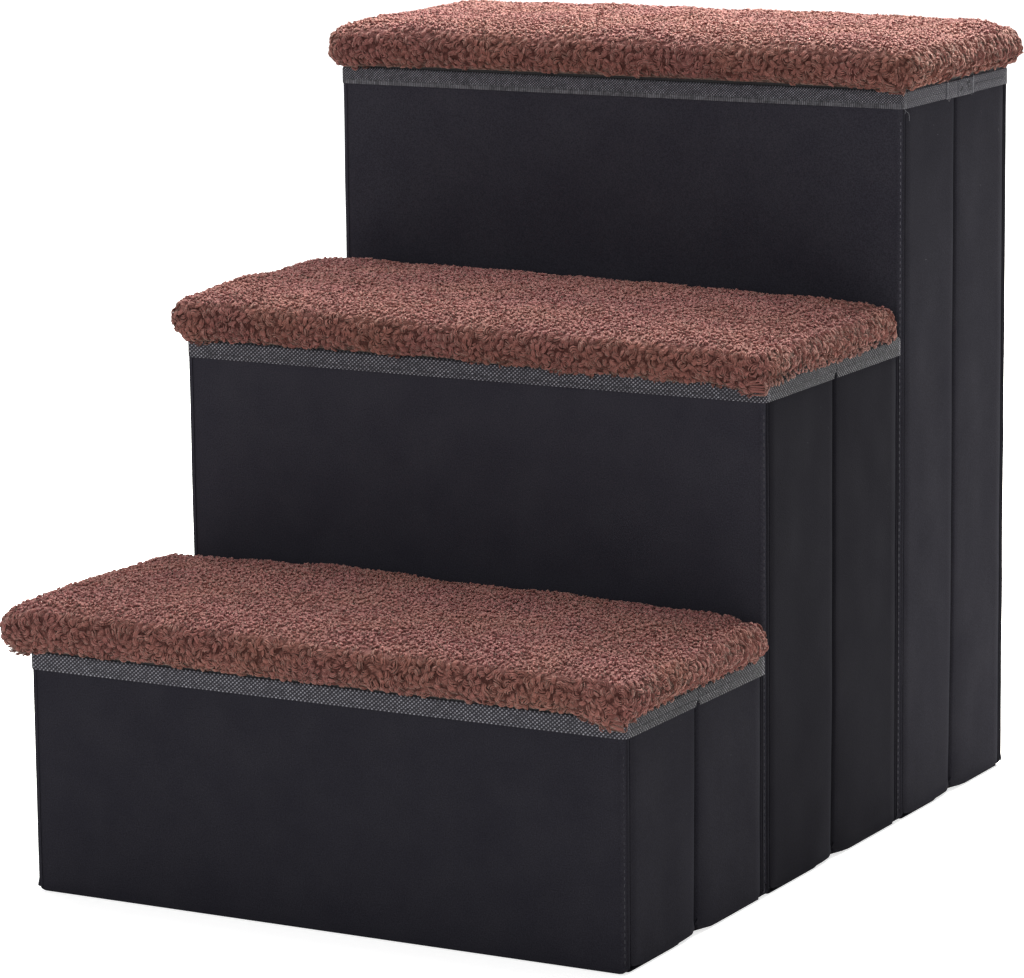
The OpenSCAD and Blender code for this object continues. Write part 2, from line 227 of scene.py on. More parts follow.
def block(name, lo, hi):
    """A cube primitive at its size and place, to be shaped further."""
    clear()
    centre = (Vector(lo) + Vector(hi)) / 2
    bpy.ops.mesh.primitive_cube_add(size=1, location=centre)
    obj = bpy.context.object
    obj.name = name
    obj.data.name = name
    obj.scale = Vector(hi) - Vector(lo)
    bpy.ops.object.transform_apply(location=True, rotation=True, scale=True)
    return obj


def pick(mode, test):
    """Selects the edges or faces of the edited mesh that pass a test."""
    bpy.ops.mesh.select_mode(type=mode)
    bpy.ops.mesh.select_all(action="DESELECT")
    mesh = bpy.context.edit_object.data
    bm = bmesh.from_edit_mesh(mesh)
    items = bm.edges if mode == "EDGE" else bm.faces
    for item in items:
        if test(item):
            item.select_set(True)
    bm.select_flush_mode()
    bmesh.update_edit_mesh(mesh)


def near(value, goal):
    """True if two measures differ by less than a fiftieth of a millimetre."""
    return abs(value - goal) < 2e-5


def all_at(item, axis, goal):
    """True if every corner of an edge or face lies on this plane."""
    return all(near(v.co[axis], goal) for v in item.verts)


def runs_along(edge, axis):
    """True if an edge runs straight along an axis."""
    d = edge.verts[1].co - edge.verts[0].co
    return d.length > 1e-6 and abs(abs(d[axis]) - d.length) < 1e-6


def turns_off(edge, axis):
    """True if a face beside an edge faces well away from an axis."""
    return any(abs(f.normal[axis]) < 0.3 for f in edge.link_faces)


def cut_along(axis, step):
    """Cuts the edges along an axis into pieces of about this length."""
    bm = bmesh.from_edit_mesh(bpy.context.edit_object.data)
    longest = max((e.calc_length() for e in bm.edges if runs_along(e, axis)), default=0)
    cuts = max(int(longest / step) - 1, 0)
    if cuts:
        pick("EDGE", lambda e: runs_along(e, axis) and e.calc_length() > longest * 0.6)
        bpy.ops.mesh.subdivide(number_cuts=cuts)


def bevel(test, width, segments):
    """Rounds the edges that pass a test."""
    pick("EDGE", test)
    bpy.ops.mesh.bevel(offset=width, segments=segments, profile=0.5, affect="EDGES")


def edit(obj):
    """Goes into edit mode with one object."""
    take(obj)
    bpy.ops.object.mode_set(mode="EDIT")


def done():
    """Back from edit mode."""
    bpy.ops.object.mode_set(mode="OBJECT")


def apply_modifier(obj, kind, **values):
    """Adds a modifier with these settings and applies it."""
    take(obj)
    modifier = obj.modifiers.new(kind.title(), kind)
    for key, value in values.items():
        setattr(modifier, key, value)
    bpy.ops.object.modifier_apply(modifier=modifier.name)


def smooth(obj, degrees=40):
    """Shades an object smooth, except across edges sharper than this."""
    take(obj)
    bpy.ops.object.shade_smooth_by_angle(angle=math.radians(degrees))


def points_of(obj):
    """The places of a mesh's points, one in each row."""
    return np.array([v.co for v in obj.data.vertices], float)


def set_points(obj, points):
    """Moves a mesh's points to these places."""
    obj.data.vertices.foreach_set("co", points.astype(np.float32).ravel())
    obj.data.update()


def set_values(mesh, values):
    """Gives every point of a mesh its value under each of these names."""
    for name, numbers in values.items():
        mesh.attributes.new(name, "FLOAT", "POINT").data.foreach_set("value", numbers.astype(np.float32))


def ripple_texture():
    """Slow clouds that cloth and tape wave by."""
    texture = bpy.data.textures.get("Slow ripple") or bpy.data.textures.new("Slow ripple", "CLOUDS")
    texture.noise_scale = 0.055
    texture.noise_depth = 1
    return texture


def ripple(obj, axis, depth):
    """Lets a piece of cloth wave a little along one axis."""
    apply_modifier(
        obj, "DISPLACE", texture=ripple_texture(), texture_coords="LOCAL",
        direction=axis, strength=depth, mid_level=0.5)


def dress(piece, body, slot, material, *nodes):
    """Finishes a piece: its material, the body that it rides on and the nodes that it stands for."""
    piece.data.materials.clear()
    piece.data.materials.append(material)
    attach(piece, body)
    if nodes:
        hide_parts(*nodes)
    return piece


def join(pieces, name):
    """Joins pieces into one object."""
    clear()
    for piece in pieces:
        piece.select_set(True)
    bpy.context.view_layer.objects.active = pieces[0]
    if len(pieces) > 1:
        bpy.ops.object.join()
    pieces[0].name = name
    pieces[0].data.name = name
    return pieces[0]


# Materials

def material(name):
    """A new material, its node tree and its shader."""
    made = bpy.data.materials.new(name)
    made.use_nodes = True
    tree = made.node_tree
    return made, tree, tree.nodes["Principled BSDF"]


def feed(tree, inputs, values):
    """Sets inputs to plain values, or links them to sockets."""
    for key, value in values.items():
        if isinstance(value, bpy.types.NodeSocket):
            tree.links.new(value, inputs[key])
        else:
            inputs[key].default_value = value


def node(tree, kind, values=None, **settings):
    """Adds a node with its settings, input values and links."""
    added = tree.nodes.new(kind)
    for key, value in settings.items():
        setattr(added, key, value)
    feed(tree, added.inputs, values or {})
    return added


def math_node(tree, operation, a, b=0.0):
    """The result of one sum on two values, each a socket or a number."""
    return node(tree, "ShaderNodeMath", {0: a, 1: b}, operation=operation).outputs[0]


def plus(tree, a, b):
    return math_node(tree, "ADD", a, b)


def minus(tree, a, b):
    return math_node(tree, "SUBTRACT", a, b)


def times(tree, a, b):
    return math_node(tree, "MULTIPLY", a, b)


def object_place(tree):
    """The place of a point in the frame of its piece."""
    return node(tree, "ShaderNodeTexCoord").outputs["Object"]


def noise(tree, place, scale, detail):
    """Cloudy noise from 0 to 1."""
    return node(tree, "ShaderNodeTexNoise", {"Vector": place, "Scale": scale, "Detail": detail}).outputs[0]


def cells(tree, place, scale, randomness=1.0):
    """The distance from the middle of the nearest of many small cells."""
    values = {"Vector": place, "Scale": scale, "Randomness": randomness}
    return node(tree, "ShaderNodeTexVoronoi", values).outputs[0]


def vector_math(tree, operation, values):
    """The result of one sum on vectors."""
    return node(tree, "ShaderNodeVectorMath", values, operation=operation).outputs[0]


def blend_values(tree, share, a, b):
    """Goes from one value to another by a share."""
    return node(tree, "ShaderNodeMix", {0: share, 2: a, 3: b}).outputs[0]


def mix_color(tree, factor, a, b, blend="MIX"):
    """Mixes two colours, each a socket or a plain colour."""
    a, b = (c if isinstance(c, bpy.types.NodeSocket) else (*c[:3], 1) for c in (a, b))
    mix = node(tree, "ShaderNodeMix", data_type="RGBA", blend_type=blend)
    feed(tree, mix.inputs, {0: factor, 6: a, 7: b})
    return mix.outputs[2]


def tint(tree, a, b):
    """One colour multiplied by another, or by a value."""
    return mix_color(tree, 1.0, a, b, "MULTIPLY")


def remap(tree, value, low, high, to_low=0.0, to_high=1.0):
    """Stretches a range of values to another range."""
    added = node(tree, "ShaderNodeMapRange", {0: value, 1: low, 2: high, 3: to_low, 4: to_high})
    return added.outputs[0]


def group(name, inputs, outputs):
    """A new shader node group with named sockets."""
    tree = bpy.data.node_groups.new(name, "ShaderNodeTree")
    for label, kind, value in inputs:
        tree.interface.new_socket(label, in_out="INPUT", socket_type=kind).default_value = value
    for label, kind in outputs:
        tree.interface.new_socket(label, in_out="OUTPUT", socket_type=kind)
    return tree, tree.nodes.new("NodeGroupInput").outputs, tree.nodes.new("NodeGroupOutput").inputs


def nap_group():
    """Brushed nap: patches that lie one way or the other, and the fine grain of the fibres."""
    name = "Brushed nap"
    if name in bpy.data.node_groups:
        return bpy.data.node_groups[name]
    tree, given, out = group(
        name,
        [("Patch size", "NodeSocketFloat", 0.04), ("Grain size", "NodeSocketFloat", 0.0008),
         ("Seed", "NodeSocketFloat", 0.0)],
        [("Patches", "NodeSocketFloat"), ("Grain", "NodeSocketFloat"), ("Height", "NodeSocketFloat")])
    place = object_place(tree)
    patch_scale = math_node(tree, "DIVIDE", 1.0, given["Patch size"])
    grain_scale = math_node(tree, "DIVIDE", 1.0, given["Grain size"])
    patches = node(
        tree, "ShaderNodeTexNoise",
        {"Vector": place, "Scale": patch_scale, "Detail": 4.0, "Roughness": 0.55, "W": given["Seed"]},
        noise_dimensions="4D").outputs[0]
    grain = noise(tree, place, grain_scale, 2.0)
    waves = noise(tree, place, times(tree, patch_scale, 0.5), 1.0)
    fine_depth = 0.00016
    slow_depth = 0.0035
    height = plus(tree, times(tree, grain, fine_depth), times(tree, waves, slow_depth))
    feed(tree, out, {"Patches": remap(tree, patches, 0.25, 0.75), "Grain": grain, "Height": height})
    return tree


def weave_group():
    """Woven tape: raised threads in slanting rows, measured round the box and up it, above a ribbed hem."""
    name = "Woven tape"
    if name in bpy.data.node_groups:
        return bpy.data.node_groups[name]
    tree, given, out = group(
        name,
        [("Pitch", "NodeSocketFloat", 0.0022), ("Rim height", "NodeSocketFloat", 0.1),
         ("Hem depth", "NodeSocketFloat", 0.0075)],
        [("Threads", "NodeSocketFloat"), ("Height", "NodeSocketFloat"), ("Hem", "NodeSocketFloat")])
    steepness = 1.17
    thread_depth = 0.00028
    hem_blur = 0.0004
    place = object_place(tree)
    split = node(tree, "ShaderNodeSeparateXYZ", {0: place}).outputs
    half_turns = math_node(tree, "DIVIDE", math.pi, given["Pitch"])
    along = times(tree, plus(tree, split[0], split[1]), half_turns)
    up = times(tree, split[2], times(tree, half_turns, steepness))
    wobble = noise(tree, place, 330.0, 2.0)
    bend = times(tree, minus(tree, wobble, 0.5), 0.9)

    def thread(phase, sharpness):
        wave = math_node(tree, "ABSOLUTE", math_node(tree, "COSINE", phase))
        return math_node(tree, "POWER", wave, sharpness)

    narrow = thread(plus(tree, minus(tree, along, up), bend), 2.6)
    wide = thread(plus(tree, plus(tree, along, up), bend), 1.7)
    twill = remap(tree, times(tree, narrow, wide), 0.16, 0.72)
    rib_wave = math_node(tree, "COSINE", plus(tree, times(tree, along, 3.0), bend))
    ribs = remap(tree, rib_wave, -0.6, 0.8, 0.25, 0.9)
    below_rim = minus(tree, given["Rim height"], split[2])
    hem = remap(tree, minus(tree, below_rim, given["Hem depth"]), 0.0, hem_blur)
    threads = blend_values(tree, hem, twill, ribs)
    worn = times(tree, threads, remap(tree, wobble, 0.3, 0.7, 0.3, 1.0))
    feed(tree, out, {"Threads": worn, "Height": times(tree, threads, thread_depth), "Hem": hem})
    return tree


def pile_group():
    """Uneven dye of the fleece, the fibres along each curl, and the small curls of the backing."""
    name = "Fleece pile"
    if name in bpy.data.node_groups:
        return bpy.data.node_groups[name]
    tree, given, out = group(
        name, [("Dye", "NodeSocketFloat", 0.5), ("Edge", "NodeSocketFloat", 0.0)],
        [("Tone", "NodeSocketFloat"), ("Patches", "NodeSocketFloat"), ("Height", "NodeSocketFloat"),
         ("Curls", "NodeSocketFloat"), ("Curl height", "NodeSocketFloat")])
    fibre_depth = 0.0006
    fuzz_depth = 0.0003
    tread_depth = 0.0008
    edge_depth = 0.0018
    wander_reach = 0.0042
    place = object_place(tree)
    strand = node(tree, "ShaderNodeUVMap", uv_map="strand").outputs[0]
    split = node(tree, "ShaderNodeSeparateXYZ", {0: strand}).outputs
    row = node(tree, "ShaderNodeCombineXYZ", {
        0: times(tree, split[0], 11.0), 1: times(tree, split[1], 2.2), 2: times(tree, given["Dye"], 90.0)})
    fibres = noise(tree, row.outputs[0], 1.0, 2.0)
    patches = noise(tree, place, 22.0, 3.0)
    fuzz = noise(tree, place, 1300.0, 3.0)
    both = plus(tree, times(tree, fibres, 0.6), times(tree, fuzz, 0.4))
    wander = node(tree, "ShaderNodeTexNoise", {"Vector": place, "Scale": 420.0, "Detail": 1.0}).outputs[1]
    warp = vector_math(tree, "SUBTRACT", {0: wander, 1: (0.5, 0.5, 0.5)})
    warp = vector_math(tree, "SCALE", {0: warp, 3: wander_reach})
    bent = vector_math(tree, "ADD", {0: place, 1: warp})
    fine = remap(tree, cells(tree, bent, 430.0), 0.05, 0.62, 1.0, 0.0)
    broad = remap(tree, cells(tree, bent, 215.0), 0.05, 0.65, 1.0, 0.0)
    knots = plus(tree, times(tree, broad, 0.6), times(tree, fine, 0.4))
    curls = blend_values(tree, given["Edge"], fine, knots)
    depth = remap(tree, given["Edge"], 0, 1, tread_depth, edge_depth)
    feed(tree, out, {
        "Tone": remap(tree, both, 0.32, 0.66, 0.76, 1.16),
        "Patches": remap(tree, patches, 0.35, 0.65),
        "Height": times(tree, both, fibre_depth),
        "Curls": curls,
        "Curl height": plus(tree, times(tree, curls, depth), times(tree, fuzz, fuzz_depth))})
    return tree


def use_group(tree, made, values):
    """Adds a node group to a material."""
    return node(tree, "ShaderNodeGroup", values, node_tree=made).outputs


def bump(tree, height, strength=1.0):
    """The normal that a height in metres gives."""
    return node(tree, "ShaderNodeBump", {"Height": height, "Distance": 1.0, "Strength": strength}).outputs[0]


def cloth_material(name, seed, low, high):
    """Napped suede-like cloth."""
    made, tree, shader = material(name)
    nap = use_group(tree, nap_group(), {"Seed": seed, "Patch size": 0.03})
    shade = mix_color(tree, nap["Patches"], low, high)
    feed(tree, shader.inputs, {
        "Base Color": tint(tree, shade, remap(tree, nap["Grain"], 0.3, 0.7, 0.72, 1.2)),
        "Roughness": remap(tree, nap["Grain"], 0.2, 0.8, 0.78, 0.98),
        "Sheen Weight": 0.05,
        "Sheen Roughness": 0.45,
        "Sheen Tint": (0.5, 0.5, 0.62, 1),
        "Specular IOR Level": 0.02,
        "Normal": bump(tree, nap["Height"], 0.8)})
    return made


def tape_material(box, sides):
    """Woven tape. Only the upper box's front has a ribbed band along its lower edge."""
    sizes = bpy.context.scene.stair_tape
    made, tree, shader = material(f"{box} {'side' if sides else 'end'} tape")
    ribbed = box == "upper" and not sides
    hem_depth = 0.0075 if ribbed else 0.03
    pitch = sizes.thread_pitch * (0.7 if ribbed else 1.0)
    rim = corners(f"{box}_front_tape")[1].z
    weave = use_group(tree, weave_group(), {"Pitch": pitch, "Rim height": rim, "Hem depth": hem_depth})
    # Painted light and shade: one tape is made paler or darker per box and on the side walls for how light
    # falls there, and the side tapes are dimmed as painted shade
    if sides:
        gap_share, thread_share = (2.2, 0.5) if box == "upper" else (0.6, 0.54)
    else:
        gap_share, thread_share = 0.9, 0.78
    side_painted_shade = (0.72, 0.72, 0.72) if sides else (1.0, 1.0, 1.0)
    gap = tuple(c * gap_share for c in sizes.gap_color_and_shade)
    thread = tuple(c * thread_share for c in sizes.thread_color_and_highlight)
    # The weave's contrast is partly the threads' own colours, partly painted highlight on the raised threads
    # and painted shade between them
    shade = mix_color(tree, weave["Threads"], gap, thread)
    hem_shade = mix_color(tree, weave["Hem"], shade, (0.5, 0.5, 0.5), "MULTIPLY")
    feed(tree, shader.inputs, {
        "Base Color": tint(tree, hem_shade, side_painted_shade),
        "Roughness": remap(tree, weave["Threads"], 0, 1, 0.85, 0.5),
        "Sheen Weight": 0.04,
        "Specular IOR Level": 0.35,
        "Normal": bump(tree, weave["Height"])})
    return made


def thread_material(name, color):
    """Twisted sewing thread."""
    made, tree, shader = material(name)
    twist = noise(tree, object_place(tree), 2500.0, 1.0)
    twist_depth = 0.0001
    dark = tuple(c * 0.55 for c in color)
    feed(tree, shader.inputs, {
        "Base Color": mix_color(tree, remap(tree, twist, 0.35, 0.65), dark, color),
        "Roughness": remap(tree, twist, 0.3, 0.7, 0.5, 0.8),
        "Normal": bump(tree, times(tree, twist, twist_depth))})
    return made


def fleece_material():
    """Curly pile, painted dark at its roots and paler at the tips of the curls: the dark roots are painted
    shade.
    """
    sizes = bpy.context.scene.stair_fleece
    made, tree, shader = material("Curly fleece")
    tip, dye, backing, edge = (
        node(tree, "ShaderNodeAttribute", attribute_name=name).outputs["Fac"]
        for name in ("tip", "dye", "backing", "edge"))
    pile = use_group(tree, pile_group(), {"Dye": dye, "Edge": edge})
    # Painted shade: the backing is painted dark in the crevices between its small curls, much darker on the
    # lid's edge than on the tread
    low = remap(tree, edge, 0, 1, 0.7, 0.05)
    shown = blend_values(tree, backing, tip, remap(tree, pile["Curls"], 0.1, 0.85, low, 0.95))
    # Painted shade: the tip value darkens the curls' roots and the sides of each clump; on the tread the
    # range is narrowed so this shade is softer, and the steep edge is painted darker overall
    darkest = remap(tree, edge, 0, 1, -0.9, 0.08)
    lightest = remap(tree, edge, 0, 1, 0.9, 0.74)
    tone = remap(tree, shown, darkest, 0.9, 0.0, lightest)
    shade = mix_color(tree, tone, sizes.root_shade_color, sizes.tip_color)
    dyed = tint(tree, shade, mix_color(tree, pile["Patches"], (1.0, 0.95, 1.0), (1.03, 1.04, 0.97)))
    # Painted shade: the backing seen between the curls on the tread is darkened
    on_tread = times(tree, backing, remap(tree, edge, 0, 1, 1, 0))
    dyed = mix_color(tree, on_tread, dyed, (0.8, 0.8, 0.8), "MULTIPLY")
    dyed = tint(tree, dyed, mix_color(tree, edge, (0.98, 0.99, 1.07), (1.0, 1.0, 1.0)))
    uneven = tint(tree, dyed, remap(tree, dye, 0, 1, 0.84, 1.12))
    height = blend_values(tree, backing, pile["Height"], pile["Curl height"])
    feed(tree, shader.inputs, {
        "Base Color": tint(tree, uneven, pile["Tone"]),
        "Roughness": remap(tree, shown, 0, 1, 0.95, 0.75),
        "Sheen Weight": 0.32,
        "Sheen Roughness": 0.4,
        "Sheen Tint": (1.0, 0.86, 0.72, 1),
        "Specular IOR Level": 0.15,
        "Normal": bump(tree, height, 0.8)})
    return made


def board_material():
    """Raw brown fibreboard with short pressed fibres."""
    made, tree, shader = material("Fibreboard")
    place = object_place(tree)
    flecks = noise(tree, place, 900.0, 5.0)
    clouds = noise(tree, place, 30.0, 3.0)
    fleck_depth = 0.0002
    base = mix_color(tree, remap(tree, flecks, 0.35, 0.65), (0.16, 0.095, 0.045), (0.36, 0.24, 0.13))
    feed(tree, shader.inputs, {
        "Base Color": tint(tree, base, remap(tree, clouds, 0.3, 0.7, 0.85, 1.1)),
        "Roughness": remap(tree, flecks, 0.2, 0.8, 0.7, 0.9),
        "Normal": bump(tree, times(tree, flecks, fleck_depth))})
    return made


def lining_material():
    """Thin black lining with pressed dots, as such boxes have inside."""
    made, tree, shader = material("Black lining")
    place = object_place(tree)
    dots = cells(tree, place, 900.0, 0.2)
    cloud = noise(tree, place, 300.0, 4.0)
    dot_depth = 0.00015
    feed(tree, shader.inputs, {
        "Base Color": mix_color(
            tree, remap(tree, cloud, 0.3, 0.7), (0.008, 0.008, 0.009), (0.02, 0.02, 0.022)),
        "Roughness": remap(tree, cloud, 0.2, 0.8, 0.65, 0.9),
        "Specular IOR Level": 0.25,
        "Normal": bump(tree, times(tree, dots, dot_depth))})
    return made


def foam_material():
    """Open-cell foam."""
    made, tree, shader = material("Pad foam")
    pores = cells(tree, object_place(tree), 1400.0)
    pore_depth = 0.0003
    feed(tree, shader.inputs, {
        # Painted shade: the pores are painted darker, as the shade in their pits
        "Base Color": mix_color(tree, remap(tree, pores, 0.1, 0.7), (0.52, 0.47, 0.34), (0.8, 0.77, 0.66)),
        "Roughness": remap(tree, pores, 0, 1, 0.8, 0.95),
        "Normal": bump(tree, times(tree, pores, pore_depth))})
    return made


def finish_of(name, maker, *values):
    """A material that is made once and found again."""
    return bpy.data.materials.get(name) or maker(*values)


def thread_of(name, color):
    """Sewing thread of one colour."""
    return finish_of(name, thread_material, name, color)


# How pale each box's cloth is made, its front and its side walls: one cloth painted paler or darker per box
# and wall, as painted light and shade
CLOTH_PAINTED_LIGHT = {
    "lower": {"front": 1.2, "side": 0.9},
    "middle": {"front": 1.6, "side": 0.54},
    "upper": {"front": 1.7, "side": 0.98}}
BACK_CLOTH_SHARE = 0.7


def wall_cloth(box, role):
    """The cloth of one wall: each has its nap brushed its own way."""
    cloth = bpy.context.scene.stair_cloth
    name = f"{box} {role} cloth"
    seed = BOXES.index(box) * 3.0 + {"front": 0.0, "back": 1.0, "side": 2.0}[role]
    # Painted light and shade: the front and side walls of each box take their own paler or darker copy of
    # the one cloth
    share = CLOTH_PAINTED_LIGHT[box].get(role, BACK_CLOTH_SHARE)
    low, high = (tuple(c * share for c in shade) for shade in (cloth.front_color, cloth.worn_color))
    return finish_of(name, cloth_material, name, seed, low, high)


# Front and back walls

def wall_cover(box, end):
    """Cloth sleeve of a front or back wall, with the side cloth lapped over both of its upright edges."""
    cloth = bpy.context.scene.stair_cloth
    lo, hi = corners(f"{box}_{end}_cover")
    out = facing(end)
    face, inner = faces_of(lo, hi, 1, out)
    piece = block(f"{box}_{end}_cloth", lo, hi)
    edit(piece)
    cut_along(0, cloth.grid)
    cut_along(2, cloth.grid)
    bevel(
        lambda e: runs_along(e, 1) and near(e.verts[0].co.z, lo.z)
        and (all_at(e, 0, lo.x) or all_at(e, 0, hi.x)),
        cloth.foot_radius, 4)

    def rim_of(level, e):
        return all_at(e, 1, level) and not all_at(e, 2, hi.z) and turns_off(e, 1)

    bevel(lambda e: rim_of(face, e) and runs_along(e, 2), cloth.edge_radius, 5)
    bevel(lambda e: rim_of(face, e), cloth.hem_radius, 3)
    bevel(lambda e: rim_of(inner, e), cloth.soft_radius, 2)
    for x in (lo.x + cloth.strip_width, hi.x - cloth.strip_width):
        bpy.ops.mesh.select_all(action="SELECT")
        bpy.ops.mesh.bisect(plane_co=(x, 0, 0), plane_no=(1, 0, 0))
    strip = hi.x - cloth.strip_width - 1e-5
    lapped_cloth = 0.0005

    def on_strip(f):
        middle = f.calc_center_median()
        on_face = (middle.y - face) * out > -cloth.edge_radius and middle.z < hi.z - 1e-5
        return abs(middle.x) > strip and on_face and f.normal.z > -0.5

    pick("FACE", on_strip)
    bpy.ops.mesh.extrude_region_shrink_fatten(TRANSFORM_OT_shrink_fatten={"value": lapped_cloth})
    done()
    ripple(piece, "X", cloth.ripple)
    smooth(piece)
    dress(piece, end_body(box, end), "cloth", wall_cloth(box, end), f"{box}_{end}_cover")
    piece.data.materials.append(wall_cloth(box, "side"))
    inner_strip = 0.002
    for polygon in piece.data.polygons:
        outer = abs(polygon.center.x) > strip and (polygon.center.y - inner) * out > inner_strip
        polygon.material_index = int(outer and abs(polygon.normal.x) > 0.75)
    return piece


# How pale the thread of the upright seams is made on each box: one thread, painted darker on the lower boxes
# as painted shade
SEAM_PAINTED_SHADE = {"lower": 0.3, "middle": 0.42, "upper": 1.0}


def seam_thread(box):
    """The thread of the upright seams of a box."""
    # Painted shade: the lower boxes' seam thread is a darker copy of the upper box's
    color = tuple(c * SEAM_PAINTED_SHADE[box] for c in bpy.context.scene.stair_stitch.seam_color)
    return thread_of(f"{box} seam thread", color)


def seam_stitches(box, end):
    """Topstitching down both upright edges of a front or back wall, where the side cloth is sewn on."""
    stitch = bpy.context.scene.stair_stitch
    cloth = bpy.context.scene.stair_cloth
    lo, hi = corners(f"{box}_{end}_cover")
    out = facing(end)
    face = faces_of(lo, hi, 1, out)[0]
    tape_low = corners(f"{box}_{end}_tape")[0].z
    tilt = math.radians(35)
    inset = cloth.edge_radius * (1 - math.sin(tilt))
    depth = cloth.edge_radius * (1 - math.cos(tilt))
    stand_off = 0.0004
    spots = []
    count = int((tape_low - lo.z - 2 * cloth.foot_radius) / stitch.pitch)
    for x in (lo.x + inset, hi.x - inset):
        for k in range(count):
            z = lo.z + 1.5 * cloth.foot_radius + k * stitch.pitch
            normal = Vector((math.copysign(math.sin(tilt), x), out * math.cos(tilt), 0))
            place = Vector((x, face - out * depth, z)) + normal * stand_off
            spots.append((place, Vector((0, 0, 1)), normal))
    piece = stitch_row(f"{box}_{end}_seam_stitches", spots)
    return dress(piece, end_body(box, end), "binding", seam_thread(box))


def stitch_shape():
    """One stitch, lying along z with its back to the cloth: a short thread that dips in at both ends."""
    stitch = bpy.context.scene.stair_stitch
    r = stitch.thickness / 2
    half = stitch.length / 2
    clear()
    bpy.ops.mesh.primitive_cylinder_add(vertices=6, radius=r, depth=stitch.length, end_fill_type="NGON")
    shape = bpy.context.object
    edit(shape)
    pick("EDGE", lambda e: runs_along(e, 2))
    bpy.ops.mesh.subdivide(number_cuts=3)
    end_share = 0.55
    dip_share = 0.9
    pick("FACE", lambda f: all_at(f, 2, half) or all_at(f, 2, -half))
    bpy.ops.transform.resize(value=(end_share, end_share, 1), center_override=(0, 0, 0))
    bpy.ops.transform.translate(value=(0, -r * dip_share, 0))
    done()
    return shape


def stitch_row(name, spots):
    """Copies the stitch to each spot: a place, the way it runs and the way the cloth faces."""
    shape = stitch_shape()
    points = points_of(shape)
    faces = [list(p.vertices) for p in shape.data.polygons]
    bpy.data.objects.remove(shape)
    rng = np.random.default_rng(len(spots))
    crookedness = 0.06
    all_points = []
    all_faces = []
    for place, along, normal in spots:
        side = normal.cross(along)
        turn = rng.normal(0, crookedness)
        run = (along + side * turn).normalized()
        side = normal.cross(run)
        basis = np.array([side, normal, run], float)
        start = len(all_points) * len(points)
        all_points.append(points @ basis + np.array(place, float))
        all_faces += [[i + start for i in f] for f in faces]
    mesh = bpy.data.meshes.new(name)
    mesh.from_pydata(np.concatenate(all_points).tolist(), [], all_faces)
    piece = bpy.data.objects.new(name, mesh)
    bpy.context.scene.collection.objects.link(piece)
    edit(piece)
    bpy.ops.mesh.select_all(action="SELECT")
    bpy.ops.mesh.normals_make_consistent(inside=False)
    done()
    smooth(piece, 60)
    return piece


# Side walls

def half_wall(box, side, end):
    """Half of a side wall, its cloth rounded into the crease."""
    cloth = bpy.context.scene.stair_cloth
    lo, hi = corners(f"{box}_{side}_{end}_wall")
    out = outward(side)
    face, inner = faces_of(lo, hi, 0, out)
    crease, _ = crease_of(lo, hi, end)
    corner = lo.y if end == "front" else hi.y
    piece = block(f"{box}_{side}_{end}_cloth", lo, hi)
    edit(piece)
    cut_along(1, cloth.grid)
    cut_along(2, cloth.grid)
    bevel(
        lambda e: runs_along(e, 0) and near(e.verts[0].co.z, lo.z)
        and (all_at(e, 1, lo.y) or all_at(e, 1, hi.y)),
        cloth.foot_radius * 0.9, 5)
    bevel(
        lambda e: all_at(e, 0, face) and all_at(e, 1, crease) and runs_along(e, 2),
        cloth.crease_width, 5)

    def sharp(e):
        level = all_at(e, 0, face) or all_at(e, 0, inner)
        return level and not all_at(e, 2, hi.z) and not all_at(e, 1, crease) and turns_off(e, 0)

    bevel(sharp, cloth.soft_radius, 2)
    done()
    ripple(piece, "X", cloth.ripple * 0.7)
    draw_in(piece, crease, inner, out)
    raise_foot(piece, crease if end == "back" else corner)
    smooth(piece)
    body = f"{box}_{side}_{end}"
    return dress(piece, body, "cloth", wall_cloth(box, "side"), f"{box}_{side}_{end}_wall")


def draw_in(piece, crease, inner, out):
    """Lets the outer cloth sink a little towards the crease, more so near the foot."""
    reach = 0.024
    foot_height = 0.10
    wall = 0.0045
    points = points_of(piece)
    near_crease = np.clip(1 - np.abs(points[:, 1] - crease) / reach, 0, 1) ** 2
    foot = np.clip(1 - points[:, 2] / foot_height, 0, 1)
    outer = np.clip((points[:, 0] - inner) * out / wall, 0, 1)
    sink = bpy.context.scene.stair_cloth.sink
    points[:, 0] -= out * outer * near_crease * sink * (0.15 + 0.85 * foot)
    set_points(piece, points)


def raise_foot(piece, end):
    """Lifts the lower edge of a half wall towards one end, where the sewn cloth stands off the floor."""
    rise = 0.0024
    reach = 0.0125
    low = 0.005
    points = points_of(piece)
    gap = np.abs(points[:, 1] - end)
    points[:, 2] += np.where(points[:, 2] < low, rise * np.clip(1 - gap / reach, 0, 1), 0)
    set_points(piece, points)


# Rim tapes

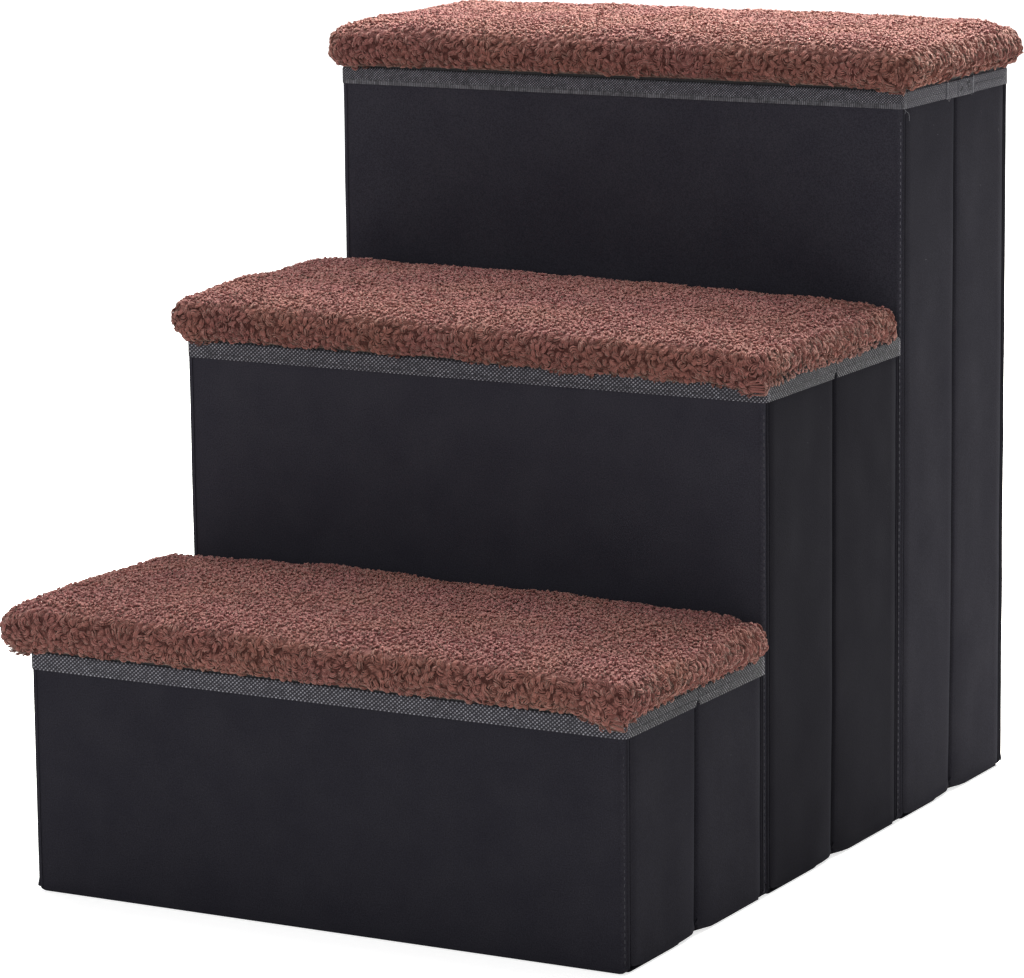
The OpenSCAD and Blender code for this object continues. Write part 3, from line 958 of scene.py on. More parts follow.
def end_tape(box, end):
    """Tape over the rim of a front or back wall, turned round both upright edges."""
    tape = bpy.context.scene.stair_tape
    cloth = bpy.context.scene.stair_cloth
    lo, hi = corners(f"{box}_{end}_tape")
    cover_lo, cover_hi = corners(f"{box}_{end}_cover")
    out = facing(end)
    face = faces_of(lo, hi, 1, out)[0]
    wall_in = faces_of(cover_lo, cover_hi, 1, out)[1]
    y_lo, y_hi = sorted((face, wall_in))
    piece = block(f"{box}_{end}_rim_tape", (lo.x, y_lo, lo.z), (hi.x, y_hi, hi.z))
    edit(piece)
    cut_along(0, cloth.grid)
    pick("FACE", lambda f: all_at(f, 2, lo.z) or all_at(f, 1, wall_in))
    bpy.ops.mesh.delete(type="FACE")
    bevel(
        lambda e: runs_along(e, 2) and all_at(e, 1, face) and (all_at(e, 0, lo.x) or all_at(e, 0, hi.x)),
        cloth.edge_radius + tape.thickness, 5)
    bevel(
        lambda e: all_at(e, 2, hi.z) and len(e.link_faces) == 2 and turns_off(e, 2),
        tape.fold_radius, 3)
    flap_gap = 0.0078
    flap_end = hi.x - (cover_hi.x - corners(f"{box}_{end}_board")[1].x) - flap_gap
    pick("EDGE", lambda e: len(e.link_faces) == 1 and all_at(e, 1, wall_in)
         and all(near(v.co.z, hi.z) and abs(v.co.x) < flap_end for v in e.verts))
    for step in ((0, -out * tape.thickness, 0), (0, 0, lo.z - hi.z)):
        bpy.ops.mesh.extrude_edges_move(TRANSFORM_OT_translate={"value": step})
    done()
    make_outward(piece)
    apply_modifier(piece, "SOLIDIFY", thickness=tape.thickness, offset=-1)
    smooth(piece)
    finish = finish_of(f"{box} end tape", tape_material, box, False)
    return dress(piece, end_body(box, end), "binding", finish, f"{box}_{end}_tape")


def make_outward(piece):
    """Turns the faces of an open sheet away from its middle line."""
    edit(piece)
    bpy.ops.mesh.select_all(action="SELECT")
    bpy.ops.mesh.normals_make_consistent(inside=False)
    bm = bmesh.from_edit_mesh(piece.data)
    top = max(bm.faces, key=lambda f: f.calc_center_median().z * 10 + f.normal.z ** 2)
    if top.normal.z < 0:
        bpy.ops.mesh.flip_normals()
    done()


def side_tape(box, side, end):
    """Tape over the rim of half a side wall."""
    tape = bpy.context.scene.stair_tape
    cloth = bpy.context.scene.stair_cloth
    lo, hi = corners(f"{box}_{side}_{end}_tape")
    crease, away = crease_of(lo, hi, end)
    piece = block(f"{box}_{side}_{end}_rim_tape", lo, hi)
    edit(piece)
    cut_along(1, cloth.grid)
    if box != "upper":
        notch_width = 0.0028
        notch_height = 0.0045
        bpy.ops.mesh.select_all(action="SELECT")
        bpy.ops.mesh.bisect(plane_co=(0, crease + away * notch_width, 0), plane_no=(0, 1, 0))
        pick("EDGE", lambda e: all_at(e, 2, lo.z) and all_at(e, 1, crease))
        bpy.ops.transform.translate(value=(0, 0, notch_height))
    pick("FACE", lambda f: f.normal.z < -0.3 or all_at(f, 1, lo.y) or all_at(f, 1, hi.y))
    bpy.ops.mesh.delete(type="FACE")
    bevel(lambda e: runs_along(e, 1) and all_at(e, 2, hi.z), tape.fold_radius, 3)
    done()
    make_outward(piece)
    ripple(piece, "X", cloth.ripple * 0.5)
    apply_modifier(piece, "SOLIDIFY", thickness=tape.thickness, offset=-1)
    smooth(piece)
    finish = finish_of(f"{box} side tape", tape_material, box, True)
    return dress(piece, f"{box}_{side}_{end}", "binding", finish, f"{box}_{side}_{end}_tape")


# How far each end of the upper right tape is doubled from the crease, and where its bar tack stands
LAP = {"front": 0.0175, "back": 0.0262}
TACK = {"front": 0.0155, "back": 0.0240}


def tape_stitches(box):
    """Stitch lines that hold the tape, on the outside of each wall."""
    stitch = bpy.context.scene.stair_stitch
    thread = thread_of("Tape thread", stitch.tape_color)
    end_rise = 0.0026
    side_rises = {"front": 0.0042, "back": 0.0049}
    corner_gap = 0.008
    for end in ENDS:
        lo, hi = corners(f"{box}_{end}_tape")
        out = facing(end)
        y = faces_of(lo, hi, 1, out)[0] + out * 0.0001
        row_end = hi.x - corner_gap
        spots = [
            (Vector((-row_end + (k + 0.5) * stitch.pitch, y, lo.z + end_rise)), Vector((1, 0, 0)),
             Vector((0, out, 0)))
            for k in range(int(2 * row_end / stitch.pitch))]
        dress(stitch_row(f"{box}_{end}_tape_stitches", spots), end_body(box, end), "binding", thread)
        for side in SIDES:
            lo, hi = corners(f"{box}_{side}_{end}_tape")
            out = outward(side)
            x = faces_of(lo, hi, 0, out)[0] + out * 0.0002
            crease, _ = crease_of(lo, hi, end)
            lapped = LAP[end] if box == "upper" and side == "right" else 0
            places = [lo.y + (k + 0.6) * stitch.pitch for k in range(int((hi.y - lo.y) / stitch.pitch))]
            spots = [
                (Vector((x, y, lo.z + side_rises[end])), Vector((0, 1, 0)), Vector((out, 0, 0)))
                for y in places if abs(y - crease) > lapped]
            row = stitch_row(f"{box}_{side}_{end}_tape_stitches", spots)
            dress(row, f"{box}_{side}_{end}", "binding", thread)


# Marks of the upper right tape: its doubled ends beside the crease, their bar tacks, knots and loose threads

def tape_lap(end):
    """One end of the upper right tape where it is doubled beside the crease."""
    lo, hi = corners(f"upper_right_{end}_tape")
    crease, away = crease_of(lo, hi, end)
    y_lo, y_hi = sorted((crease - away * 0.0001, crease + away * LAP[end]))
    face = hi.x + 0.0003
    back = hi.x - 0.0004
    grid = 0.003
    edge_radius = 0.00025
    hangs_below = 0.0006
    ends_below_top = 0.0010
    piece = block(
        f"upper_right_{end}_tape_lap", (back, y_lo, lo.z - hangs_below), (face, y_hi, hi.z - ends_below_top))
    edit(piece)
    cut_along(1, grid)
    cut_along(2, grid)
    bevel(lambda e: all_at(e, 0, face) and turns_off(e, 0), edge_radius, 2)
    done()
    smooth(piece)
    finish = finish_of("upper side tape", tape_material, "upper", True)
    return dress(piece, f"upper_right_{end}", "binding", finish)


def thread_tail(points, radius):
    """A loose end of thread through these points."""
    curve = bpy.data.curves.new("thread tail", "CURVE")
    curve.dimensions = "3D"
    curve.bevel_depth = radius
    curve.bevel_resolution = 1
    curve.use_fill_caps = True
    curve.resolution_u = 6
    spline = curve.splines.new("BEZIER")
    spline.bezier_points.add(len(points) - 1)
    for spot, place in zip(spline.bezier_points, points):
        spot.co = place
        spot.handle_left_type = spot.handle_right_type = "AUTO"
    obj = bpy.data.objects.new("thread tail", curve)
    bpy.context.scene.collection.objects.link(obj)
    take(obj)
    bpy.ops.object.convert(target="MESH")
    return bpy.context.object


def bar_tacks(end):
    """The dense upright row of stitches that closes a lap, with the tails that were left on it."""
    stitch = bpy.context.scene.stair_stitch
    lo, hi = corners(f"upper_right_{end}_tape")
    crease, away = crease_of(lo, hi, end)
    y = crease + away * TACK[end]
    face = hi.x + 0.0004
    seed, tails = (5, 3) if end == "front" else (9, 5)
    rng = np.random.default_rng(seed)
    first = 0.0008
    pitch = 0.0007
    spots = []
    for k in range(14):
        z = lo.z + first + k * pitch
        run = Vector((0, 0.25 * (-1) ** k, 1)).normalized()
        spots.append((Vector((face, y + rng.normal(0, 0.0002), z)), run, Vector((1, 0, 0))))
    parts = [stitch_row(f"upper_right_{end}_bar_tack", spots)]
    for _ in range(tails):
        points = [Vector((face, y + rng.uniform(-0.004, 0.004), lo.z + rng.uniform(0, 0.004)))]
        for _ in range(3):
            step = Vector((0.0002, rng.normal(0, 0.0010), -abs(rng.normal(0.0007, 0.0003))))
            points.append(points[-1] + step)
        parts.append(thread_tail(points, stitch.thickness * 0.22))
    piece = join(parts, f"upper_right_{end}_bar_tack")
    return dress(piece, f"upper_right_{end}", "binding", thread_of("Tack thread", stitch.tack_color))


def knots():
    """Dark knots of the binding's thread between the two bar tacks."""
    stitch = bpy.context.scene.stair_stitch
    lo, hi = corners("upper_right_back_tape")
    rng = np.random.default_rng(3)
    # how far along the tape and up it each knot lies
    places = ((0.0052, 0.0030), (0.0066, 0.0042), (0.0150, 0.0066), (0.0166, 0.0042), (0.0180, 0.0072),
              (0.0192, 0.0030), (0.0205, 0.0050))
    spots = []
    for along, up in places:
        for _ in range(4):
            turn = rng.uniform(0.3, math.pi - 0.3)
            spots.append((
                Vector((hi.x + 0.00035, lo.y + along + rng.normal(0, 0.0004), lo.z + up)),
                Vector((0, math.cos(turn), math.sin(turn))), Vector((1, 0, 0))))
    thread = thread_of("Tape thread", stitch.tape_color)
    return dress(stitch_row("upper_right_back_knots", spots), "upper_right_back", "binding", thread)


def corner_tail():
    """The long loose thread below the tape at the upper box's right front corner."""
    stitch = bpy.context.scene.stair_stitch
    lo, hi = corners("upper_front_tape")
    knot = Vector((hi.x - 0.0004, lo.y + 0.0016, lo.z))
    # points of the long and the short end, seen from the knot
    long_end = (
        (0, 0, 0.0010), (0.0012, 0.0012, -0.0012), (0.0016, 0.0044, -0.0032), (0.0010, 0.0066, -0.0078))
    short_end = ((0, 0, 0.0010), (0.0010, 0.0006, -0.0010), (0.0012, -0.0004, -0.0030))
    parts = [
        thread_tail([knot + Vector(step) for step in end], stitch.thickness * 0.2)
        for end in (long_end, short_end)]
    piece = join(parts, "upper_corner_thread_tail")
    smooth(piece, 80)
    return dress(piece, end_body("upper", "front"), "binding", thread_of("Tack thread", stitch.tack_color))


def lint(box, side, end, count):
    """A few specks of fluff that cling to the napped cloth."""
    lo, hi = corners(f"{box}_{side}_{end}_wall")
    rng = np.random.default_rng(100 * BOXES.index(box) + 10 * SIDES.index(side) + ENDS.index(end))
    face = faces_of(lo, hi, 0, outward(side))[0]
    lint_radius = 0.00009
    parts = []
    for _ in range(count):
        y = rng.uniform(lo.y + 0.008, hi.y - 0.008)
        z = hi.z - 0.012 - abs(rng.normal(0, 0.045))
        start = Vector((face + outward(side) * 0.00035, y, z))
        turn = rng.uniform(0, math.pi)
        step = Vector((0, math.cos(turn), math.sin(turn))) * rng.uniform(0.0004, 0.0009)
        bend = Vector((0, -step.z, step.y)) * rng.uniform(-0.6, 0.6)
        parts.append(thread_tail([start, start + step + bend, start + step * 2], lint_radius))
    piece = join(parts, f"{box}_{side}_{end}_lint")
    # Painted shade: the lint takes its box's seam thread, which is painted darker on the lower boxes
    return dress(piece, f"{box}_{side}_{end}", "cloth", seam_thread(box))


# Lids

def puff(obj, cap):
    """Fills a closed cover with air for a moment, and caps how far a point may move."""
    frames = 20
    start = points_of(obj)
    take(obj)
    cloth = obj.modifiers.new("Cloth", "CLOTH")
    cloth.settings.quality = 4
    cloth.settings.mass = 0.25
    cloth.settings.use_pressure = True
    cloth.settings.uniform_pressure_force = 4
    cloth.settings.effector_weights.gravity = 0
    cloth.point_cache.frame_start = 1
    cloth.point_cache.frame_end = frames
    scene = bpy.context.scene
    for step in range(1, frames + 1):
        scene.frame_set(step)
    bpy.ops.object.modifier_apply(modifier=cloth.name)
    scene.frame_set(1)
    move = points_of(obj) - start
    length = np.linalg.norm(move, axis=1, keepdims=True)
    move *= np.minimum(1, cap / np.maximum(length, 1e-9))
    set_points(obj, start + move)


# How each lid lies in the photograph, in metres. A pair is for the lid's left and right end.
# aside: moved to the right, apart: each end moved outwards, ends: each end of the tread raised,
# rear_corners: tread lowered at the rear corners, front_corners: front corners hang lower,
# right_side: right edge hangs lower, front: right half of the front edge hangs lower,
# rear: tread raised towards the rear, left_end: tread puffed up at the left end,
# hump: tread raised left of the middle, right_inset: how far the hanging corner lies from the right end,
# pinch_share: how far the left end is drawn together at half height
LIDS = {
    "lower": {
        "aside": -0.0077, "apart": 0.0076, "ends": (0.0046, 0.0010), "rear_corners": (0.0042, 0.0024),
        "front_corners": (0.0070, 0.0096), "right_side": 0.0, "front": 0.0, "rear": 0.0032,
        "left_end": 0.0028, "hump": 0.0022, "right_inset": 0.010, "pinch_share": 0.5},
    "middle": {
        "aside": -0.0046, "apart": -0.0004, "ends": (0.0044, -0.0036), "rear_corners": (0.0010, 0.0),
        "front_corners": (0.0030, 0.0070), "right_side": 0.0026, "front": 0.0030, "rear": 0.0020,
        "left_end": 0.0046, "hump": 0.0, "right_inset": 0.002, "pinch_share": 0.5},
    "upper": {
        "aside": 0.0, "apart": 0.0024, "ends": (0.0046, 0.0046), "rear_corners": (0.0, 0.0),
        "front_corners": (0.0062, 0.0088), "right_side": -0.0030, "front": 0.0, "rear": 0.0012,
        "left_end": 0.0, "hump": 0.0, "right_inset": 0.002, "pinch_share": 0.0}}

# How far past the rim's board the fleece starts to hang down
RIM_GAP = 0.0012


def lid_base(box):
    """The fleece's backing: a soft crowned block, puffed up, whose front corners hang over the tape."""
    fleece = bpy.context.scene.stair_fleece
    pile_room = 0.0012
    rear_room = 0.0028
    under_room = 0.0008
    top_room = 0.0052
    lo, hi = corners(f"{box}_lid_fleece")
    lo.x += pile_room
    hi.x -= pile_room
    lo.y += pile_room
    hi.y -= rear_room
    bottom = lo.z + under_room
    top = hi.z - top_room
    piece = block(f"{box}_lid_fleece_cover", (lo.x, lo.y, bottom), (hi.x, hi.y, top))
    edit(piece)
    front_radius = 0.013
    rear_radius = 0.009
    tread_radius = 0.0110
    under_radius = 0.0060
    bevel(lambda e: runs_along(e, 2) and all_at(e, 1, lo.y), front_radius, 6)
    bevel(lambda e: runs_along(e, 2) and all_at(e, 1, hi.y), rear_radius, 5)
    bevel(lambda e: all_at(e, 2, top), tread_radius, 5)
    bevel(lambda e: all_at(e, 2, bottom), under_radius, 3)
    done()
    apply_modifier(piece, "REMESH", mode="VOXEL", voxel_size=fleece.voxel)
    most_puff = 0.0022
    puff(piece, most_puff)
    apply_modifier(piece, "SUBSURF", levels=1, render_levels=1)
    points = points_of(piece)
    lay_tread(points, box)
    hang_edge(points, box, bottom)
    set_points(piece, points)
    return piece


def bell(values, middle, width):
    """One at the middle, falling to nothing on both sides."""
    return np.exp(-((values - middle) / width) ** 2)


def lay_tread(points, box):
    """Crowns the tread, raises and lowers its ends, and presses a groove beside both ends."""
    lid = LIDS[box]
    crown = 0.0042
    wave = 0.0007
    groove_inset = 0.017
    groove_width = 0.0034
    groove_depth = 0.0030
    groove_end = 0.01
    lo, hi = corners(f"{box}_lid_fleece")
    middle = (np.array(lo) + np.array(hi)) / 2
    half = (np.array(hi) - np.array(lo)) / 2
    x, y, z = points.T
    across = np.clip(np.abs((points - middle) / half), 0, 1)
    share = np.clip((z - lo.z) / (hi.z - lo.z), 0, 1)
    along = np.clip(0.5 + x / (2 * half[0]), 0, 1)
    to_rear = np.clip((y - middle[1]) / half[1], 0, 1)
    left, right = lid["ends"]
    drop_left, drop_right = lid["rear_corners"]
    rise = crown * (1 - across[:, 0] ** 2.6) * (1 - across[:, 1] ** 2.2)
    slow = (np.sin(x * 47 + 1.3) * np.sin(y * 71 + 0.4) + 0.6 * np.sin(x * 121 + y * 83 + 2.1)) * wave
    rear = lid["rear"] * to_rear * (1 - across[:, 0] ** 4)
    left_end = lid["left_end"] * (1 - across[:, 1] ** 2) * bell(along, 0, 0.09)
    drop = (drop_left * bell(along, 0, 0.12) + drop_right * bell(along, 1, 0.12)) * to_rear ** 1.5
    hump = lid["hump"] * bell(along, 0.3, 0.16)
    z += share * (rise + slow + left + (right - left) * along + hump + rear + left_end - drop)
    groove = bell(np.abs(x), half[0] - groove_inset, groove_width) * (y < hi.y - groove_end)
    z -= groove_depth * groove * np.clip(share - 0.6, 0, 0.4) / 0.4


def hang_edge(points, box, bottom):
    """Lets the edge hang over the tape, keeps the rest on the rim, and moves and pinches the ends."""
    lid = LIDS[box]
    corner_width = 0.022
    corner_depth = 0.017
    low_reach = 0.015
    under_reach = 0.013
    nose_reach = 0.015
    nose_height = 0.012
    lo, hi = corners(f"{box}_lid_fleece")
    rim_lo, rim_hi = corners(f"{box}_lid_board")
    half = (np.array(hi) - np.array(lo)) / 2
    x, y, z = points.T
    along = np.clip(0.5 + x / (2 * half[0]), 0, 1)
    outside = np.clip((np.maximum(np.abs(x) - rim_hi.x, rim_lo.y - y) - RIM_GAP) / 0.002, 0, 1)
    inset = np.where(x > 0, lid["right_inset"], 0)
    corner = bell(np.abs(x), half[0] - inset, corner_width) * bell(y, lo.y, corner_depth)
    low = np.clip(1 - (z - bottom) / low_reach, 0, 1)
    uneven = 0.0009 * np.clip(np.sin(x * 95 + y * 60) + 0.6, 0, None)
    if box != "middle":
        uneven *= np.where(x > rim_hi.x, 0.2, 1)
    left, right = lid["front_corners"]
    hang = corner * np.where(x > 0, right, left)
    hang += lid["front"] * (y < rim_lo.y) * np.clip((along - 0.45) / 0.2, 0, 1)
    hang += lid["right_side"] * np.clip((x - rim_hi.x) / 0.004, 0, 1) * (1 - corner)
    z[:] = np.where(outside > 0, z, np.maximum(z, bottom))
    z -= outside * low * (hang + uneven)
    nose = np.clip((-x - half[0] + nose_reach) / nose_reach, 0, 1) * lid["pinch_share"]
    z += (bottom + nose_height - z) * nose
    ends = np.clip((np.abs(x) - half[0] * 0.7) / (half[0] * 0.3), 0, 1)
    x += ends * (lid["aside"] + np.sign(x) * lid["apart"])
    under = np.clip(1 - (z - bottom) / under_reach, 0, 1) ** 2 * outside * (1 - corner)
    x -= np.sign(x) * under * np.where(x < -rim_hi.x, 0.0075, 0.0020)
    y += under * np.where(y < rim_lo.y, 0.0022, 0)


def tree_of(places):
    """A search tree over these places."""
    tree = KDTree(len(places))
    for i, place in enumerate(places):
        tree.insert(place, i)
    tree.balance()
    return tree


def spread(places, spacing):
    """Keeps every point that is at least this far from the points kept before it."""
    tree = tree_of(places)
    free = np.ones(len(places), bool)
    taken = []
    for i, place in enumerate(places):
        if free[i]:
            taken.append(i)
            for _, j, _ in tree.find_range(place, spacing):
                free[j] = False
    return np.array(taken)


def scatter(piece, spacing, rng, on_top):
    """Evenly spread points on the tread or on the edge of a lid, with the way the surface faces there."""
    piece.data.calc_loop_triangles()
    points = points_of(piece)
    tris = np.array([t.vertices[:] for t in piece.data.loop_triangles], int)
    a, b, c = points[tris[:, 0]], points[tris[:, 1]], points[tris[:, 2]]
    normals = np.cross(b - a, c - a)
    areas = np.linalg.norm(normals, axis=1) / 2
    normals /= np.maximum(areas[:, None] * 2, 1e-12)
    tread_slope = 0.83
    under_slope = -0.8
    tries_share = 3.2
    steep = normals[:, 2] < tread_slope
    keep = ~steep if on_top else steep & (normals[:, 2] > under_slope)
    weight = areas * keep
    tries = int(weight.sum() / spacing ** 2 * tries_share)
    chosen = rng.choice(len(tris), tries, p=weight / weight.sum())
    u, v = rng.random((2, tries))
    flip = u + v > 1
    u[flip], v[flip] = 1 - u[flip], 1 - v[flip]
    places = a[chosen] + (b - a)[chosen] * u[:, None] + (c - a)[chosen] * v[:, None]
    taken = spread(places, spacing)
    return places[taken], normals[chosen[taken]]


def flatten_to(vectors, normals):
    """The part of each vector that lies along the surface, made one long."""
    flat = vectors - normals * np.sum(vectors * normals, axis=1, keepdims=True)
    return flat / np.maximum(np.linalg.norm(flat, axis=1, keepdims=True), 1e-9)


def curl_paths(places, normals, length, radius, clump, steps, rng):
    """Middle lines of the curls. They gather in clumps and swirl round the middle of each clump."""
    count = len(places)
    centres = places[spread(places[rng.permutation(count)], clump)]
    tree = tree_of(centres)
    nearest = np.array([tree.find(place)[1] for place in places])
    swirl = np.where(rng.random(len(centres)) < 0.5, -1.0, 1.0)[nearest][:, None]
    gap = centres[nearest] - places
    reach = np.clip(np.linalg.norm(gap, axis=1) / (clump * 0.62), 0, 1)
    inward = flatten_to(gap + rng.normal(0, clump * 0.05, (count, 3)), normals)
    around = np.cross(normals, inward) * swirl
    lean = flatten_to(inward * 0.45 + around * 0.75 + rng.normal(0, 0.3, (count, 3)), normals)
    aside = np.cross(normals, lean)
    # dome is highest in the middle of a clump; it shapes the curls and also paints the clump's rim darker as
    # shade
    dome = np.sqrt(1 - reach ** 2 * 0.9)
    long = length * rng.uniform(0.8, 1.2, count) * (0.72 + 0.34 * dome)
    turn = np.radians(rng.uniform(140, 215, count))
    hook_turn = np.radians(rng.uniform(130, 230, count)) * swirl[:, 0]
    flat = rng.uniform(0.35, 0.8, count)[:, None]
    twist = rng.normal(0, 0.7, count)
    path = np.zeros((count, steps, 3))
    top_lift = 0.0003
    rim_sink = 0.0006
    spot = places + normals * (top_lift - rim_sink * (1 - dome))[:, None]
    path[:, 0] = spot
    for k in range(1, steps):
        share = (k - 0.5) / (steps - 1)
        angle = turn * share
        bend = hook_turn * share
        arch = normals * np.cos(angle)[:, None] + lean * np.sin(angle)[:, None]
        hook = (
            lean * np.cos(bend)[:, None] + aside * np.sin(bend)[:, None]
            + normals * 0.9 * math.cos(math.pi * share))
        step = arch * (1 - flat) + hook * flat + aside * (twist * k / steps * 0.5)[:, None]
        step /= np.linalg.norm(step, axis=1, keepdims=True)
        spot = spot + step * (long / (steps - 1))[:, None]
        path[:, k] = spot
    taper = np.interp(np.linspace(0, 1, steps), [0, 0.3, 0.7, 1], [0.75, 1.08, 1.0, 0.5])
    thick = radius * rng.uniform(0.8, 1.22, count)[:, None] * taper[None]
    return path, thick, aside, dome, rng.random(count)


def lock_paths(places, normals, length, radius, strands, steps, rng):
    """Middle lines of the locks: each is a bundle of strands that lie side by side and bend together."""
    count = len(places)
    hang = np.array([[0, 0, -0.35]]) * (1 - np.clip(normals[:, 2:3], 0, 1))
    lean = flatten_to(rng.normal(0, 1, (count, 3)) * 0.8 + hang, normals)
    aside = np.cross(normals, lean)
    bend = np.radians(rng.uniform(75, 165, count)) * np.where(rng.random(count) < 0.5, -1.0, 1.0)
    long = length * rng.uniform(0.8, 1.2, count)
    wide = radius * 1.45
    offset = (np.arange(strands) - (strands - 1) / 2) * wide
    offset = offset[None] + rng.normal(0, wide * 0.16, (count, strands))
    side = np.abs(offset) / (wide * strands / 2)
    sink = 0.0006
    side_sink = 0.0010
    start = (
        places[:, None] + aside[:, None] * offset[..., None]
        - normals[:, None] * (sink + side_sink * side ** 2)[..., None]
        - lean[:, None] * (long[:, None] * rng.uniform(0.32, 0.42, (count, strands)))[..., None])
    size = count * strands
    bend = np.repeat(bend, strands) * rng.uniform(0.85, 1.15, size)
    long = np.clip(np.repeat(long, strands) - offset.ravel() * bend, length * 0.45, length * 1.6)
    normals, lean, aside = (np.repeat(v, strands, axis=0) for v in (normals, lean, aside))
    rise = rng.uniform(0.75, 1.05, size)[:, None]
    spot = start.reshape(-1, 3)
    path = np.zeros((size, steps, 3))
    path[:, 0] = spot
    for k in range(1, steps):
        share = (k - 0.5) / (steps - 1)
        turned = bend * (share - 0.25)
        step = (
            lean * np.cos(turned)[:, None] + aside * np.sin(turned)[:, None]
            + normals * rise * math.cos(math.pi * share * 1.02))
        step /= np.linalg.norm(step, axis=1, keepdims=True)
        spot = spot + step * (long / (steps - 1))[:, None]
        path[:, k] = spot
    taper = np.interp(np.linspace(0, 1, steps), [0, 0.25, 0.75, 1], [0.7, 1.05, 1.0, 0.5])
    thick = radius * rng.uniform(0.78, 1.2, size)[:, None] * taper[None]
    # Painted shade: strands at the sides of a lock get a lower dome value, which paints them darker
    dome = np.clip(1.05 - 0.75 * side.ravel() ** 2, 0, 1)
    dye = np.repeat(rng.random(count), strands) * 0.7 + rng.random(size) * 0.3
    return path, thick, aside, dome, dye


def curl_mesh(name, path, thick, aside, dome, dye, sides, shade, on_edge):
    """Tubes round the middle lines, with a tip value that paints shade at the roots and the sides of a
    clump, a dye value, and a map that runs along each curl.
    """
    count, steps, _ = path.shape
    tangent = np.gradient(path, axis=1)
    tangent /= np.linalg.norm(tangent, axis=2, keepdims=True)
    across = np.repeat(aside[:, None], steps, axis=1)
    across -= tangent * np.sum(across * tangent, axis=2, keepdims=True)
    across /= np.maximum(np.linalg.norm(across, axis=2, keepdims=True), 1e-6)
    other = np.cross(tangent, across)
    angles = np.arange(sides) / sides * 2 * math.pi
    ring = (
        across[:, :, None] * np.cos(angles)[None, None, :, None] * 1.1
        + other[:, :, None] * np.sin(angles)[None, None, :, None] * 0.9
    )
    points = (path[:, :, None] + ring * thick[:, :, None, None]).reshape(-1, 3)
    k = np.arange(steps - 1)[:, None] * sides
    s = np.arange(sides)[None]
    after = (s + 1) % sides
    quads = np.stack([k + s, k + after, k + sides + after, k + sides + s], axis=-1).reshape(-1, 4)
    caps = np.stack([np.arange(sides)[::-1], (steps - 1) * sides + np.arange(sides)])
    offset = (np.arange(count) * steps * sides)[:, None, None]
    faces = (quads[None] + offset).reshape(-1, 4).tolist()
    faces += (caps[None] + offset).reshape(-1, sides).tolist()
    mesh = bpy.data.meshes.new(name)
    mesh.from_pydata(points.tolist(), [], faces)
    along = np.repeat(np.linspace(0, 1, steps), sides)
    # Painted shade: the tip value is low at each curl's root and, by the dome value, at the sides of its
    # clump, so these are painted darker
    height = np.clip(np.sin(np.pi * (0.1 + along * 0.66)) * 1.05, 0, 1)
    tip = (height[None] * (shade + (1 - shade) * dome[:, None])).ravel()
    dye = np.repeat(dye, steps * sides)
    set_values(mesh, {"tip": tip, "dye": dye, "edge": np.full(len(tip), on_edge)})
    width = 0.6 / sides
    row = (s * width + 0 * k).ravel()
    level = (k / sides / (steps - 1) + 0 * s).ravel()
    lift = 1 / (steps - 1)
    corners_map = np.stack([
        np.stack([row, level], -1), np.stack([row + width, level], -1),
        np.stack([row + width, level + lift], -1), np.stack([row, level + lift], -1)], axis=1)
    cap_map = np.full((count * 2 * sides, 2), 0.5)
    flat = np.concatenate([np.tile(corners_map.reshape(-1, 2), (count, 1)), cap_map])
    mesh.uv_layers.new(name="strand").data.foreach_set("uv", flat.astype(np.float32).ravel())
    curls = bpy.data.objects.new(name, mesh)
    bpy.context.scene.collection.objects.link(curls)
    return curls


def keep_off_rim(curls, box):
    """Keeps the curls off the box, its rim and the box behind, and lays them over the board's right edge."""
    reach = 0.0075
    fade = 0.006
    over = 0.0015
    rear_gap = 0.004 if box == "upper" else 0.0008
    lo, hi = corners(f"{box}_lid_fleece")
    rim_lo, rim_hi = corners(f"{box}_lid_board")
    points = points_of(curls)
    x, y, z = points.T
    sunk = rim_hi.x + RIM_GAP - x
    beside = np.where((sunk > 0) & (sunk < reach), np.clip(1 - (z - lo.z) / fade, 0, 1), 0)
    x += beside * (0.8 * sunk + over)
    inside = (np.abs(x) < rim_hi.x + RIM_GAP) & (y > rim_lo.y - RIM_GAP)
    z[:] = np.where(inside, np.maximum(z, lo.z + 0.0003), z)
    y[:] = np.minimum(y, hi.y + rear_gap)
    set_points(curls, points)


